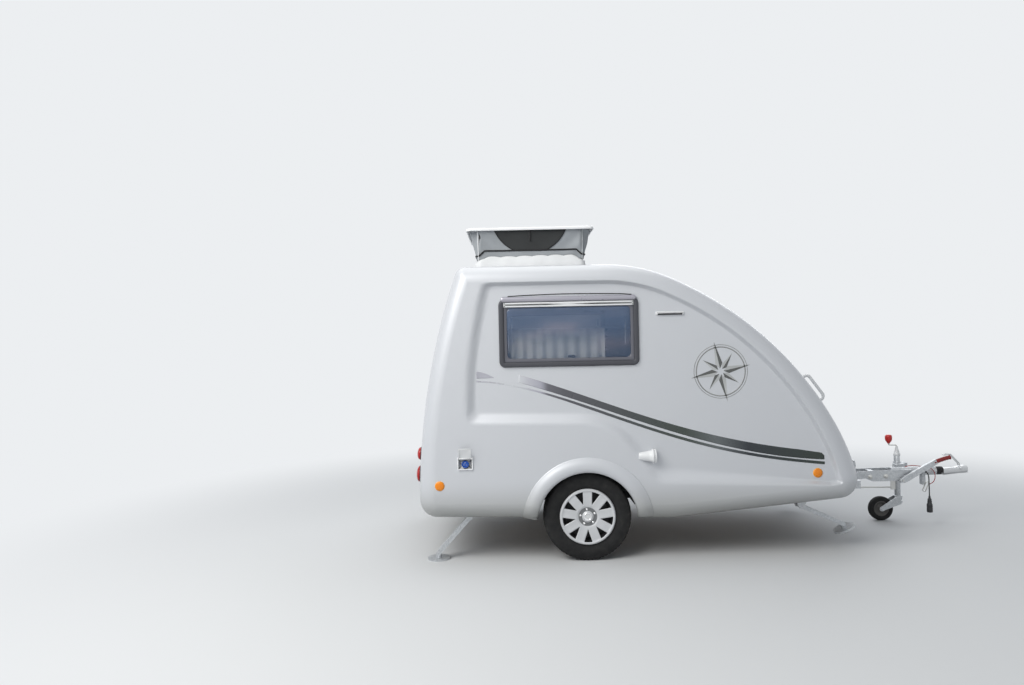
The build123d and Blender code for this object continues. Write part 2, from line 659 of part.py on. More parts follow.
def nose_point(y, turned, out):
    """The point this far out of the nose's skin at y, where the skin has
    turned down from the roof by this many degrees."""
    crown = 1 - (y / HALF_WIDTH) ** 2
    x, z, before = ahead(ROOF_BEND), ROOF_EDGE_Z + ROOF_CROWN * crown, 0
    for radius_centre, radius_side, turn in FRONT_ARCS:
        radius = radius_side + (radius_centre - radius_side) * crown
        after = min(before + turn, turned)
        x += radius * (math.sin(math.radians(after)) - math.sin(math.radians(before)))
        z += radius * (math.cos(math.radians(after)) - math.cos(math.radians(before)))
        before = after
    return x + out * math.sin(math.radians(turned)), z + out * math.cos(math.radians(turned))


with BuildPart() as grab_handles:
    for side in (-1, 1):
        with BuildLine(side_plane(side * GRIP_Y)) as grip:
            FilletPolyline(nose_point(GRIP_Y, GRIP_HIGH, -WALL / 2), nose_point(GRIP_Y, GRIP_HIGH, GRIP_STAND),
                           nose_point(GRIP_Y, GRIP_FOOT, GRIP_STAND), nose_point(GRIP_Y, GRIP_FOOT, -WALL / 2),
                           radius=30)
        with BuildSketch(Plane(origin=grip.line @ 0, z_dir=grip.line % 0)):
            Circle(GRIP_TUBE)
        sweep(path=grip.line)
        for turned in (GRIP_HIGH, GRIP_FOOT):
            base = nose_point(GRIP_Y, turned, 0)
            way = nose_point(GRIP_Y, turned, 1)
            with BuildSketch(Plane(origin=(base[0], side * GRIP_Y, base[1]),
                                   z_dir=(way[0] - base[0], 0, way[1] - base[1])).offset(-WALL / 2)):
                Circle(GRIP_TUBE * 2)
            extrude(amount=WALL / 2 + 6)
    add(outer, mode=Mode.SUBTRACT)
grab_handles.part.label = "grab_handles"
export_step(grab_handles.part, "parts/grab_handles.step")

inlet_end = Plane.YZ.offset(ahead(INLET_X - INLET_LENGTH / 2))
with BuildPart() as inlet_box:
    with BuildSketch(side_plane(-HALF_WIDTH)):
        with Locations((ahead(INLET_X), INLET_Z)):
            RectangleRounded(INLET_LENGTH, INLET_HEIGHT, 8)
    extrude(amount=INLET_PROUD)
    with BuildSketch(side_plane(-HALF_WIDTH - INLET_PROUD)):
        with Locations((ahead(INLET_X), INLET_Z)):
            RectangleRounded(INLET_LENGTH - 14, INLET_HEIGHT - 14, 6)
    extrude(amount=-INLET_PROUD + 3, mode=Mode.SUBTRACT)
    with BuildSketch(side_plane(-HALF_WIDTH)):
        with Locations((ahead(INLET_X), INLET_Z)):
            Circle(SOCKET_RADIUS)
            Circle(SOCKET_RADIUS - 4, mode=Mode.SUBTRACT)
    extrude(amount=INLET_PROUD - 2)
    with BuildSketch(inlet_end):
        with Locations((FLAP_Y, FLAP_Z)):
            Circle(FLAP_BARREL)
            with Locations((FLAP_BARREL / 2, -FLAP_BARREL / 2)):
                Rectangle(FLAP_BARREL + 2, FLAP_BARREL)
    lug = extrude(amount=FLAP_LUG)
    mirror(lug, about=Plane.YZ.offset(ahead(INLET_X)))
    with BuildSketch(inlet_end):
        with Locations((FLAP_Y, FLAP_Z)):
            Circle(FLAP_PIN)
    extrude(amount=INLET_LENGTH)
inlet_box.part.label = "inlet_box"
export_step(inlet_box.part, "parts/inlet_box.step")

with BuildPart() as inlet_flap:
    with BuildSketch(inlet_end.offset(FLAP_LUG + 1)):
        with Locations(Location((FLAP_Y, FLAP_Z, 0), (0, 0, -FLAP_RAISED))):
            with Locations((0, -INLET_HEIGHT / 2)):
                Rectangle(FLAP_THICKNESS, INLET_HEIGHT)
            Circle(FLAP_BARREL)
            Circle(FLAP_PIN + RUNNING_GAP, mode=Mode.SUBTRACT)
    extrude(amount=INLET_LENGTH - 2 * (FLAP_LUG + 1))
inlet_flap.part.label = "inlet_flap"
export_step(inlet_flap.part, "parts/inlet_flap.step")

with BuildPart() as wall_cowl:
    with BuildSketch(Plane.YZ.offset(ahead(COWL_REAR))):
        with Locations((-HALF_WIDTH - 2, COWL_Z)):
            Circle(COWL_MOUTH * 0.6)
    with BuildSketch(Plane.YZ.offset(ahead(COWL_FRONT))):
        with Locations((-HALF_WIDTH + 16, COWL_Z)):
            Circle(COWL_MOUTH)
    loft()
    for x in (COWL_FRONT + 2, COWL_FRONT + 18):
        with BuildSketch(Plane.YZ.offset(ahead(x))):
            with Locations((-HALF_WIDTH + 16, COWL_Z)):
                Circle(COWL_MOUTH + 8)
        extrude(amount=10)
    with BuildSketch(Plane.YZ.offset(ahead(COWL_FRONT - 5))):
        with Locations((-HALF_WIDTH + 16, COWL_Z)):
            Circle(COWL_MOUTH - 6)
    extrude(amount=30)
    add(uncut_shell.part, mode=Mode.SUBTRACT)
wall_cowl.part.label = "wall_cowl"
export_step(wall_cowl.part, "parts/wall_cowl.step")

with BuildPart() as side_vents:
    for side in (-1, 1):
        with BuildSketch(side_plane(side * PANEL_HALF_WIDTH)):
            with Locations(VENT_CENTRE):
                RectangleRounded(VENT_LENGTH, VENT_HEIGHT, 8)
        extrude(amount=-side * VENT_PROUD)
side_vents.part.label = "side_vents"
export_step(side_vents.part, "parts/side_vents.step")

# Chassis: rails, cross members, steady brackets and the torsion axle
with BuildPart() as chassis_frame:
    for side in (-1, 1):
        with BuildSketch(side_plane(side * (RAIL_Y + RAIL_WIDTH / 2))):
            with Locations((ahead((RAIL_REAR + RAIL_FRONT) / 2), (RAIL_LOW + RAIL_HIGH) / 2)):
                Rectangle(RAIL_FRONT - RAIL_REAR, RAIL_HIGH - RAIL_LOW)
        extrude(amount=side * RAIL_WIDTH)
    for name, pivot_x, half_spacing, way, raised in STEADIES:
        with BuildSketch(Plane.XY.offset(RAIL_LOW)):
            with Locations((ahead(pivot_x), 0)):
                Rectangle(CROSS_WIDTH, 2 * (half_spacing + STEADY_WIDTH / 2 + 20))
        extrude(amount=RAIL_HIGH - RAIL_LOW)
        for side in (-1, 1):
            for face in (-1, 1):
                with BuildSketch(side_plane(side * half_spacing + face * (STEADY_WIDTH / 2 + 6 + STEEL / 2))):
                    with BuildLine():
                        Polyline((ahead(pivot_x) - 60, RAIL_LOW), (ahead(pivot_x) - 16, STEADY_PIVOT_Z - 16),
                                 (ahead(pivot_x) + 16, STEADY_PIVOT_Z - 16), (ahead(pivot_x) + 60, RAIL_LOW),
                                 close=True)
                    make_face()
                extrude(amount=STEEL / 2, both=True)
            with BuildSketch(side_plane(side * half_spacing)):
                with Locations((ahead(pivot_x), STEADY_PIVOT_Z)):
                    Circle(STEADY_PIN)
            extrude(amount=STEADY_WIDTH / 2 + 6 + STEEL, both=True)
    for x in CROSS_MEMBERS:
        with BuildSketch(Plane.XY.offset(RAIL_LOW)):
            with Locations((ahead(x), 0)):
                Rectangle(CROSS_WIDTH, 2 * RAIL_Y)
        extrude(amount=RAIL_HIGH - RAIL_LOW)
chassis_frame.part.label = "chassis_frame"
export_step(chassis_frame.part, "parts/chassis_frame.step")

with BuildPart() as axle_beam:
    with BuildSketch(side_plane(0)):
        with Locations((ahead(BEAM_AHEAD), BEAM_Z)):
            RectangleRounded(BEAM_SIZE, BEAM_SIZE, 8)
    extrude(amount=BEAM_HALF_LENGTH, both=True)
    for side in (-1, 1):
        with BuildSketch(side_plane(side * BEAM_HALF_LENGTH)):
            with Locations((ahead(BEAM_AHEAD), BEAM_Z)):
                Circle(46)
            with Locations((AXLE_X, AXLE_Z)):
                Circle(36)
            make_hull()
        extrude(amount=-side * ARM_THICKNESS)
        with BuildSketch(side_plane(side * (BEAM_HALF_LENGTH + ARM_THICKNESS))):
            with Locations((AXLE_X, AXLE_Z)):
                Circle(STUB_RADIUS)
        extrude(amount=-side * (TYRE_OUTER_Y - 60 - BEAM_HALF_LENGTH - ARM_THICKNESS))
axle_beam.part.label = "axle_beam"
export_step(axle_beam.part, "parts/axle_beam.step")

# Steady legs on their bracket pins, made with the pad flat on the ground
for name, pivot_x, half_spacing, way, raised in STEADIES:
    for hand, side in (("right", -1), ("left", 1)):
        pivot = Vector(ahead(pivot_x), side * half_spacing, STEADY_PIVOT_Z)
        lowered = math.radians(STEADY_LOWERED)
        reach = Vector(way * math.cos(lowered), 0, -math.sin(lowered))
        leg_plane = Plane(origin=pivot, x_dir=reach, z_dir=(0, -1, 0))
        tip = pivot + reach * STEADY_LENGTH
        with BuildPart() as leg:
            with BuildSketch(leg_plane):
                with Locations((STEADY_LENGTH / 2, 0)):
                    SlotCenterToCenter(STEADY_LENGTH, STEADY_DEPTH)
            extrude(amount=STEADY_WIDTH / 2, both=True)
            with BuildSketch(leg_plane):
                Circle(STEADY_PIN + RUNNING_GAP)
            extrude(amount=STEADY_WIDTH, both=True, mode=Mode.SUBTRACT)
            with BuildSketch(Plane.XY):
                with Locations((tip.X, tip.Y)):
                    Circle(PAD_RADIUS)
            extrude(amount=PAD_THICKNESS)
            with BuildSketch(Plane.XY):
                with Locations((tip.X, tip.Y)):
                    Circle(PAD_RADIUS / 4)
            extrude(amount=tip.Z)
        with BuildPart() as steady:
            add(leg.part.rotate(Axis(pivot, (0, 1, 0)), -way * raised))
        steady.part.label = f"steady_{name}_{hand}"
        export_step(steady.part, f"parts/steady_{name}_{hand}.step")

# Drawbar: two arms that close up ahead of the body, then carry deep plates
with BuildPart() as drawbar_arms:
    for side in (-1, 1):
        with BuildSketch(Plane.XY.offset(RAIL_LOW)):
            with BuildLine():
                Polyline((ahead(ARM_ROOT), side * ARM_ROOT_Y), (ahead(PLATE_REAR), side * (PLATE_Y + STEEL)),
                         (ahead(PLATE_FRONT), side * (PLATE_Y + STEEL)), (ahead(PLATE_FRONT), side * PLATE_Y),
                         (ahead(PLATE_REAR), side * PLATE_Y), (ahead(ARM_ROOT), side * (ARM_ROOT_Y - 44)),
                         close=True)
            make_face()
        extrude(amount=RAIL_HIGH - RAIL_LOW)
        with BuildSketch(side_plane(side * PLATE_Y)):
            with BuildLine():
                Polyline((ahead(PLATE_REAR), RAIL_LOW), (ahead(PLATE_REAR + 60), PLATE_LOW),
                         (ahead(PLATE_FRONT - 20), PLATE_LOW), (ahead(PLATE_FRONT), PLATE_LOW + 20),
                         (ahead(PLATE_FRONT), DRAWBAR_TOP + 6), (ahead(PLATE_REAR), RAIL_HIGH), close=True)
            make_face()
        extrude(amount=-side * STEEL)
    for x in (PLATE_REAR + 70, PLATE_FRONT - 60):
        with BuildSketch(side_plane(0)):
            with Locations((ahead(x), SHAFT_Z)):
                Rectangle(40, 24)
        extrude(amount=PLATE_Y, both=True)
drawbar_arms.part.label = "drawbar_arms"
export_step(drawbar_arms.part, "parts/drawbar_arms.step")

# Overrun device: housing, bellows, coupling head with its socket and grip
with BuildPart() as overrun_body:
    with BuildSketch(Plane.YZ.offset(ahead(HOUSING_REAR))):
        with Locations((0, SHAFT_Z)):
            Circle(HOUSING_RADIUS)
    extrude(amount=HOUSING_FRONT - HOUSING_REAR)
    with BuildSketch(Plane.XY.offset(SHAFT_Z)):
        with Locations((ahead(PLATE_FRONT + 40), 0)):
            Rectangle(70, 2 * PLATE_Y)
    extrude(amount=20, both=True)
    add(drawbar_arms.part, mode=Mode.SUBTRACT)
    with BuildSketch(Plane.YZ.offset(ahead(HOUSING_FRONT))):
        with Locations((0, SHAFT_Z)):
            Circle(SHAFT_RADIUS)
    extrude(amount=BELLOWS_FRONT - HOUSING_FRONT)
    with BuildSketch(side_plane(-HOUSING_RADIUS + 6)):
        with Locations((ahead(2830), SHAFT_Z)):
            Circle(9)
    extrude(amount=14)
    with BuildSketch(side_plane(-48)):
        with Locations((ahead(2815), 372)):
            Rectangle(24, 90)
    extrude(amount=-48)
overrun_body.part.label = "overrun_body"
export_step(overrun_body.part, "parts/overrun_body.step")

with BuildPart() as overrun_bellows:
    with BuildSketch(side_plane(0)):
        with BuildLine():
            folds = 4
            pitch = (BELLOWS_FRONT - HOUSING_FRONT) / folds
            points = [(ahead(HOUSING_FRONT), SHAFT_Z + SHAFT_RADIUS)]
            for fold in range(folds):
                start = ahead(HOUSING_FRONT) + pitch * fold
                points.append((start, SHAFT_Z + HOUSING_RADIUS - 6))
                points.append((start + pitch / 2, SHAFT_Z + HOUSING_RADIUS))
            points.append((ahead(BELLOWS_FRONT), SHAFT_Z + HOUSING_RADIUS - 6))
            points.append((ahead(BELLOWS_FRONT), SHAFT_Z + SHAFT_RADIUS))
            Polyline(*points, close=True)
        make_face()
    revolve(axis=Axis((0, 0, SHAFT_Z), (1, 0, 0)))
overrun_bellows.part.label = "overrun_bellows"
export_step(overrun_bellows.part, "parts/overrun_bellows.step")

with BuildPart() as coupling_head:
    with BuildSketch(Plane.XY.offset(HEAD_LOW)):
        with BuildLine():
            Polyline((ahead(BELLOWS_FRONT), -30), (ahead(BALL_X - 40), -38), (ahead(BALL_X), -44),
                     (ahead(BALL_X + 40), -38))
            ThreePointArc((ahead(BALL_X + 40), -38), (ahead(COUPLING_NOSE), 0), (ahead(BALL_X + 40), 38))
            Polyline((ahead(BALL_X + 40), 38), (ahead(BALL_X), 44), (ahead(BALL_X - 40), 38),
                     (ahead(BELLOWS_FRONT), 30), (ahead(BELLOWS_FRONT), -30))
        make_face()
    extrude(amount=HEAD_HIGH - HEAD_LOW)
    fillet(coupling_head.faces().sort_by(Axis.Z)[-1].edges(), 12)
    with BuildSketch(Plane.XY.offset(HEAD_LOW)):
        with Locations((ahead(BALL_X), 0)):
            Circle(BALL_RADIUS)
    extrude(amount=36, mode=Mode.SUBTRACT)
    with Locations((ahead(BALL_X), 0, HEAD_LOW + 36)):
        Sphere(BALL_RADIUS, mode=Mode.SUBTRACT)
    with BuildLine(side_plane(0)) as grip:
        FilletPolyline((ahead(BALL_X - 40), HEAD_HIGH - 10), (ahead(BALL_X - 8), HEAD_HIGH + 40),
                       (ahead(BALL_X - 60), 566), (ahead(BALL_X - 150), 560), radius=18)
    with BuildSketch(Plane(origin=grip.line @ 0, z_dir=grip.line % 0)):
        Circle(10)
    sweep(path=grip.line)
coupling_head.part.label = "coupling_head"
export_step(coupling_head.part, "parts/coupling_head.step")

# Handbrake lever on its pin, beside the right plate
lever_pivot = Vector(ahead(LEVER_PIVOT[0]), LEVER_Y, LEVER_PIVOT[1])
lever_way = Vector(math.cos(math.radians(LEVER_RAISED)), 0, math.sin(math.radians(LEVER_RAISED)))
lever_plane = Plane(origin=lever_pivot, x_dir=lever_way, z_dir=(0, -1, 0))
with BuildPart() as handbrake_lever:
    with BuildSketch(lever_plane):
        with Locations((LEVER_LENGTH / 2, 0)):
            SlotCenterToCenter(LEVER_LENGTH, 38)
    extrude(amount=LEVER_WIDTH)
    with BuildSketch(lever_plane):
        with Locations((LEVER_LENGTH + 52, 6)):
            SlotOverall(110, 26)
    extrude(amount=LEVER_WIDTH)
    with BuildSketch(lever_plane):
        Circle(8 + RUNNING_GAP)
    extrude(amount=LEVER_WIDTH, mode=Mode.SUBTRACT)
handbrake_lever.part.label = "handbrake_lever"
export_step(handbrake_lever.part, "parts/handbrake_lever.step")

with BuildPart() as brake_bracket:
    with BuildSketch(side_plane(-PLATE_Y - STEEL)):
        with Locations((ahead(LEVER_PIVOT[0]), LEVER_PIVOT[1])):
            Circle(8)
    extrude(amount=LEVER_WIDTH + 20)
    with BuildSketch(side_plane(-PLATE_Y - STEEL)):
        with Locations((ahead(LEVER_PIVOT[0]), LEVER_PIVOT[1])):
            Circle(16)
    extrude(amount=-LEVER_Y - PLATE_Y - STEEL - 0.5)
    with BuildSketch(side_plane(0)):
        with Locations((ahead(PLATE_FRONT - 55), 335)):
            Rectangle(36, 100)
    extrude(amount=6, both=True)
    add(drawbar_arms.part, mode=Mode.SUBTRACT)
    add(overrun_body.part, mode=Mode.SUBTRACT)
brake_bracket.part.label = "brake_bracket"
export_step(brake_bracket.part, "parts/brake_bracket.step")

with BuildPart() as brake_rod:
    rod_start = Vector(ahead(ROD_REAR[0]), 0, ROD_REAR[1])
    rod_end = Vector(ahead(ROD_FRONT[0]), 0, ROD_FRONT[1])
    with BuildSketch(Plane(origin=rod_start, z_dir=rod_end - rod_start)):
        Circle(6)
    extrude(amount=(rod_end - rod_start).length)
    add(axle_beam.part, mode=Mode.SUBTRACT)
    add(brake_bracket.part, mode=Mode.SUBTRACT)
brake_rod.part.label = "brake_rod"
export_step(brake_rod.part, "parts/brake_rod.step")

# Jockey wheel: clamp, tube and crank on the drawbar, swivelling fork below
with BuildPart() as jockey_tube:
    with BuildSketch(Plane.XY.offset(TUBE_LOW)):
        with Locations((ahead(JOCKEY_X), JOCKEY_Y)):
            Circle(JOCKEY_TUBE)
    extrude(amount=TUBE_HIGH - TUBE_LOW)
    with BuildSketch(Plane.XY.offset(TUBE_HIGH)) as low:
        with Locations((ahead(JOCKEY_X), JOCKEY_Y)):
            Circle(JOCKEY_TUBE + 3)
    with BuildSketch(Plane.XY.offset(TUBE_HIGH + 50)) as high:
        with Locations((ahead(JOCKEY_X), JOCKEY_Y)):
            Circle(10)
    loft()
    with BuildSketch(Plane.XY.offset(TUBE_LOW)):
        with Locations((ahead(JOCKEY_X), JOCKEY_Y)):
            Circle(JOCKEY_STEM + 0.1)
    extrude(amount=TUBE_HIGH - TUBE_LOW - 20, mode=Mode.SUBTRACT)
jockey_tube.part.label = "jockey_tube"
export_step(jockey_tube.part, "parts/jockey_tube.step")

with BuildPart() as jockey_clamp:
    with BuildSketch(Plane.XY.offset(430)):
        with Locations((ahead(JOCKEY_X), JOCKEY_Y)):
            Circle(JOCKEY_TUBE + 9)
        with Locations((ahead(JOCKEY_X - 35), (JOCKEY_Y + PLATE_Y) / 2)):
            Rectangle(70, JOCKEY_Y - PLATE_Y)
        with Locations((ahead(JOCKEY_X - 80), PLATE_Y + STEEL + 5)):
            Rectangle(110, 10)
        with Locations((ahead(JOCKEY_X), JOCKEY_Y)):
            Circle(JOCKEY_TUBE, mode=Mode.SUBTRACT)
    extrude(amount=60)
    add(drawbar_arms.part, mode=Mode.SUBTRACT)
    add(overrun_body.part, mode=Mode.SUBTRACT)
jockey_clamp.part.label = "jockey_clamp"
export_step(jockey_clamp.part, "parts/jockey_clamp.step")

with BuildPart() as jockey_crank:
    with BuildLine(side_plane(JOCKEY_Y)) as crank_path:
        FilletPolyline((ahead(JOCKEY_X), TUBE_HIGH + 50), (ahead(JOCKEY_X), TUBE_HIGH + 78),
                       (ahead(JOCKEY_X - 70), TUBE_HIGH + 78), (ahead(JOCKEY_X - 70), TUBE_HIGH + 100), radius=10)
    with BuildSketch(Plane(origin=crank_path.line @ 0, z_dir=crank_path.line % 0)):
        Circle(6)
    sweep(path=crank_path.line)
    with BuildSketch(Plane.XY.offset(TUBE_HIGH + 100)):
        with Locations((ahead(JOCKEY_X - 70), JOCKEY_Y)):
            Circle(17)
    extrude(amount=60, taper=-8)
jockey_crank.part.label = "jockey_crank"
export_step(jockey_crank.part, "parts/jockey_crank.step")

with BuildPart() as jockey_fork:
    with BuildSketch(Plane.XY.offset(165)):
        with Locations((ahead(JOCKEY_X), JOCKEY_Y)):
            Circle(JOCKEY_STEM)
    extrude(amount=120)
    with BuildSketch(Plane.XY.offset(150)):
        with Locations((ahead(JOCKEY_X), JOCKEY_Y)):
            RectangleRounded(50, JOCKEY_WIDTH + 24, 6)
    extrude(amount=15)
    for face in (-1, 1):
        with BuildSketch(side_plane(JOCKEY_Y + face * (JOCKEY_WIDTH / 2 + 6))):
            with Locations((ahead(JOCKEY_X), 150)):
                Circle(16)
            with Locations((ahead(JOCKEY_X - JOCKEY_TRAIL), JOCKEY_RADIUS)):
                Circle(16)
            make_hull()
        extrude(amount=-face * 6)
    with BuildSketch(side_plane(JOCKEY_Y)):
        with Locations((ahead(JOCKEY_X - JOCKEY_TRAIL), JOCKEY_RADIUS)):
            Circle(8)
    extrude(amount=JOCKEY_WIDTH / 2 + 12, both=True)
jockey_fork.part.label = "jockey_fork"
export_step(jockey_fork.part, "parts/jockey_fork.step")

with BuildPart() as jockey_wheel:
    with BuildSketch(side_plane(JOCKEY_Y)):
        with Locations((ahead(JOCKEY_X - JOCKEY_TRAIL), JOCKEY_RADIUS)):
            Circle(JOCKEY_RADIUS)
    extrude(amount=JOCKEY_WIDTH / 2, both=True)
    fillet(jockey_wheel.edges().filter_by(GeomType.CIRCLE), 14)
    with BuildSketch(side_plane(JOCKEY_Y)):
        with Locations((ahead(JOCKEY_X - JOCKEY_TRAIL), JOCKEY_RADIUS)):
            Circle(8 + RUNNING_GAP)
    extrude(amount=JOCKEY_WIDTH, both=True, mode=Mode.SUBTRACT)
jockey_wheel.part.label = "jockey_wheel"
export_step(jockey_wheel.part, "parts/jockey_wheel.step")

# Road wheels: tyre, rim with brake drum, and a nine-spoke cover
for name, side in (("right", -1), ("left", 1)):
    axle_line = Axis((AXLE_X, 0, AXLE_Z), (0, 1, 0))
    with BuildPart() as tyre:
        with BuildSketch(Plane.YZ.offset(AXLE_X)):
            with BuildLine():
                bead = AXLE_Z + TYRE_BEAD_RADIUS
                belly = AXLE_Z + (TYRE_BEAD_RADIUS + TYRE_RADIUS) / 2
                tread = AXLE_Z + TYRE_RADIUS
                outside = Polyline((side * (TYRE_INNER_Y + 20), bead), (side * COVER_BACK_Y, bead),
                                   (side * COVER_BACK_Y, bead + 22))
                wall_out = ThreePointArc(outside @ 1, (side * TYRE_OUTER_Y, belly),
                                         (side * (TYRE_OUTER_Y - 12), tread - 14))
                crown = ThreePointArc(wall_out @ 1, (side * TYRE_MIDDLE_Y, tread),
                                      (side * (TYRE_INNER_Y + 12), tread - 14))
                wall_in = ThreePointArc(crown @ 1, (side * TYRE_INNER_Y, belly),
                                        (side * (TYRE_INNER_Y + 20), bead + 22))
                Line(wall_in @ 1, outside @ 0)
            make_face()
        revolve(axis=axle_line)
    tyre.part.label = f"tyre_{name}"
    export_step(tyre.part, f"parts/tyre_{name}.step")

    with BuildPart() as wheel:
        with BuildSketch(Plane.YZ.offset(AXLE_X)):
            with BuildLine():
                Polyline(
                    (side * (TYRE_INNER_Y + 20), bead), (side * (COVER_BACK_Y - 8), bead),
                    (side * (COVER_BACK_Y - 8), bead - RIM_WALL), (side * HUB_FACE_Y, bead - RIM_WALL - 14),
                    (side * HUB_FACE_Y, AXLE_Z + STUB_RADIUS + RUNNING_GAP),
                    (side * (TYRE_INNER_Y - 10), AXLE_Z + STUB_RADIUS + RUNNING_GAP),
                    (side * (TYRE_INNER_Y - 10), AXLE_Z + 115), (side * (HUB_FACE_Y - 10), AXLE_Z + 115),
                    (side * (HUB_FACE_Y - 10), bead - RIM_WALL - 16),
                    (side * (TYRE_INNER_Y + 20), bead - RIM_WALL), close=True)
            make_face()
        revolve(axis=axle_line)
    wheel.part.label = f"wheel_{name}"
    export_step(wheel.part, f"parts/wheel_{name}.step")

    with BuildPart() as wheel_cover:
        with BuildSketch(Plane.YZ.offset(AXLE_X)):
            with BuildLine():
                rim_edge = Line((side * COVER_BACK_Y, AXLE_Z), (side * COVER_BACK_Y, AXLE_Z + COVER_RADIUS))
                dome = ThreePointArc(rim_edge @ 1, (side * (COVER_BACK_Y + 14), AXLE_Z + COVER_WINDOW_OUTER),
                                     (side * (COVER_BACK_Y + 20), AXLE_Z + COVER_HUB_RADIUS + 12))
                Polyline(dome @ 1, (side * (COVER_BACK_Y + 8), AXLE_Z + COVER_HUB_RADIUS),
                         (side * (COVER_BACK_Y + 8), AXLE_Z), rim_edge @ 0)
            make_face()
        revolve(axis=axle_line)
        with BuildSketch(side_plane(side * (COVER_BACK_Y - 1)), mode=Mode.PRIVATE) as windows:
            with Locations((AXLE_X, AXLE_Z)):
                Circle(COVER_WINDOW_OUTER)
                Circle(COVER_WINDOW_INNER, mode=Mode.SUBTRACT)
                with PolarLocations(COVER_WINDOW_OUTER / 2, COVER_SPOKES, start_angle=90):
                    Rectangle(COVER_WINDOW_OUTER + 40, 44, mode=Mode.SUBTRACT)
        extrude(windows.sketch, amount=-side * 40, mode=Mode.SUBTRACT)
    wheel_cover.part.label = f"wheel_cover_{name}"
    export_step(wheel_cover.part, f"parts/wheel_cover_{name}.step")


def cord_path(route):
    """Runs between the route's points, joined by arcs as large as they allow."""
    points = [Vector(ahead(x), y, z) for x, y, z in route]
    radii = []
    for before, point, after in zip(points, points[1:], points[2:]):
        shorter = min((point - before).length, (after - point).length)
        turn = math.radians((point - before).get_angle(after - point))
        radii.append(0.45 * shorter / math.tan(turn / 2))
    print("cord radii", [round(radius) for radius in radii])
    return points, radii


# Electrics cable, hanging beside the coupling with its plug
with BuildPart() as electrics_cable:
    points, radii = cord_path(CABLE_ROUTE)
    with BuildLine() as route:
        FilletPolyline(*points, radius=radii)
    with BuildSketch(Plane(origin=route.line @ 0, z_dir=route.line % 0)):
        Circle(CABLE_RADIUS)
    sweep(path=route.line)
    cable_volume = math.pi * CABLE_RADIUS ** 2 * route.wire().length
electrics_cable.part.label = "electrics_cable"
export_step(electrics_cable.part, "parts/electrics_cable.step")

with BuildPart() as electrics_plug:
    with BuildSketch(side_plane(CABLE_ROUTE[-1][1])):
        with BuildLine():
            Polyline(*[(ahead(CABLE_ROUTE[-1][0]) + r, PLUG_TOP + z) for r, z in PLUG_PROFILE], close=True)
        make_face()
    revolve(axis=Axis((ahead(CABLE_ROUTE[-1][0]), CABLE_ROUTE[-1][1], 0), (0, 0, 1)))
electrics_plug.part.label = "electrics_plug"
export_step(electrics_plug.part, "parts/electrics_plug.step")

# Breakaway cable, from the top of the right plate to its clip under the housing
with BuildPart() as breakaway_cable:
    points, radii = cord_path(BREAKAWAY_ROUTE)
    with BuildLine() as route:
        FilletPolyline(*points, radius=radii)
    with BuildSketch(Plane(origin=route.line @ 0, z_dir=route.line % 0)):
        Circle(BREAKAWAY_RADIUS)
    sweep(path=route.line)
breakaway_cable.part.label = "breakaway_cable"
export_step(breakaway_cable.part, "parts/breakaway_cable.step")

with BuildPart() as breakaway_clip:
    with BuildSketch(side_plane(-48)):
        with Locations((ahead(2826), 312)):
            SlotOverall(90, 32, rotation=65)
            SlotOverall(76, 18, rotation=65, mode=Mode.SUBTRACT)
    extrude(amount=7)
breakaway_clip.part.label = "breakaway_clip"
export_step(breakaway_clip.part, "parts/breakaway_clip.step")
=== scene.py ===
# %% [markdown]
# A travel caravan, dressed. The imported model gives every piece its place, and
# this file gives each one its visible shape and finish. It reads like a
# notebook: a note first, then the cell that does the work. All lengths are in
# metres, +X runs forward along the drawbar, -Y is the side that we look at.

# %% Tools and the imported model
import math

import bpy
import numpy as np
from mathutils.bvhtree import BVHTree
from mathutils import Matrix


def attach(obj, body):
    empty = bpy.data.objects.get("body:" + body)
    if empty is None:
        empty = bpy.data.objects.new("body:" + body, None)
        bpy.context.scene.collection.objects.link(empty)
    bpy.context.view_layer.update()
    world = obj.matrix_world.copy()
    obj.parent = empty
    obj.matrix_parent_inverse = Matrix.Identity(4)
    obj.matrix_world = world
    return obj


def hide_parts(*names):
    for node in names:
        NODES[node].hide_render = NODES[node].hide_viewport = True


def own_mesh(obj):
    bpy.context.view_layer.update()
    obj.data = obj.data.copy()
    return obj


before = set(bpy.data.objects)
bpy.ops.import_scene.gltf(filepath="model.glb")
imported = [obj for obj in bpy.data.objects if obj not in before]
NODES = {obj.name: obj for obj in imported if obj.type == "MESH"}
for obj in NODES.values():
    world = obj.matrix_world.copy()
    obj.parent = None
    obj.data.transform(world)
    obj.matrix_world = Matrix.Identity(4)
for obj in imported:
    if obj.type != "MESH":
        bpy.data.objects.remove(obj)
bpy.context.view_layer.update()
AXLE_X, AXLE_Z = -0.9785, 0.3125
SIDES = (("right", -1), ("left", 1))

# %% [markdown]
# The camera stood a little behind the wheel at eye height, square to the
# caravan's side, and it leaned by about one degree. A long flat view like this
# one shows the side almost without perspective.

# %% Camera
eye = bpy.data.cameras.new("camera")
eye.lens, eye.sensor_width = 27.56, 36
camera = bpy.data.objects.new("camera", eye)
camera.location = (AXLE_X - 0.509, -6.419, 1.552)
camera.rotation_euler = (math.radians(90), math.radians(1.2), 0)
bpy.context.scene.collection.objects.link(camera)
bpy.context.scene.camera = camera

# %% [markdown]
# Every new piece goes through the same few steps: its points and faces come
# from numpy arrays, it gets its material, and it rides on a body of the model.
# Each material is listed with the library's slot that it stands for.

# %% Making a mesh piece from arrays
SLOT_OF = {}


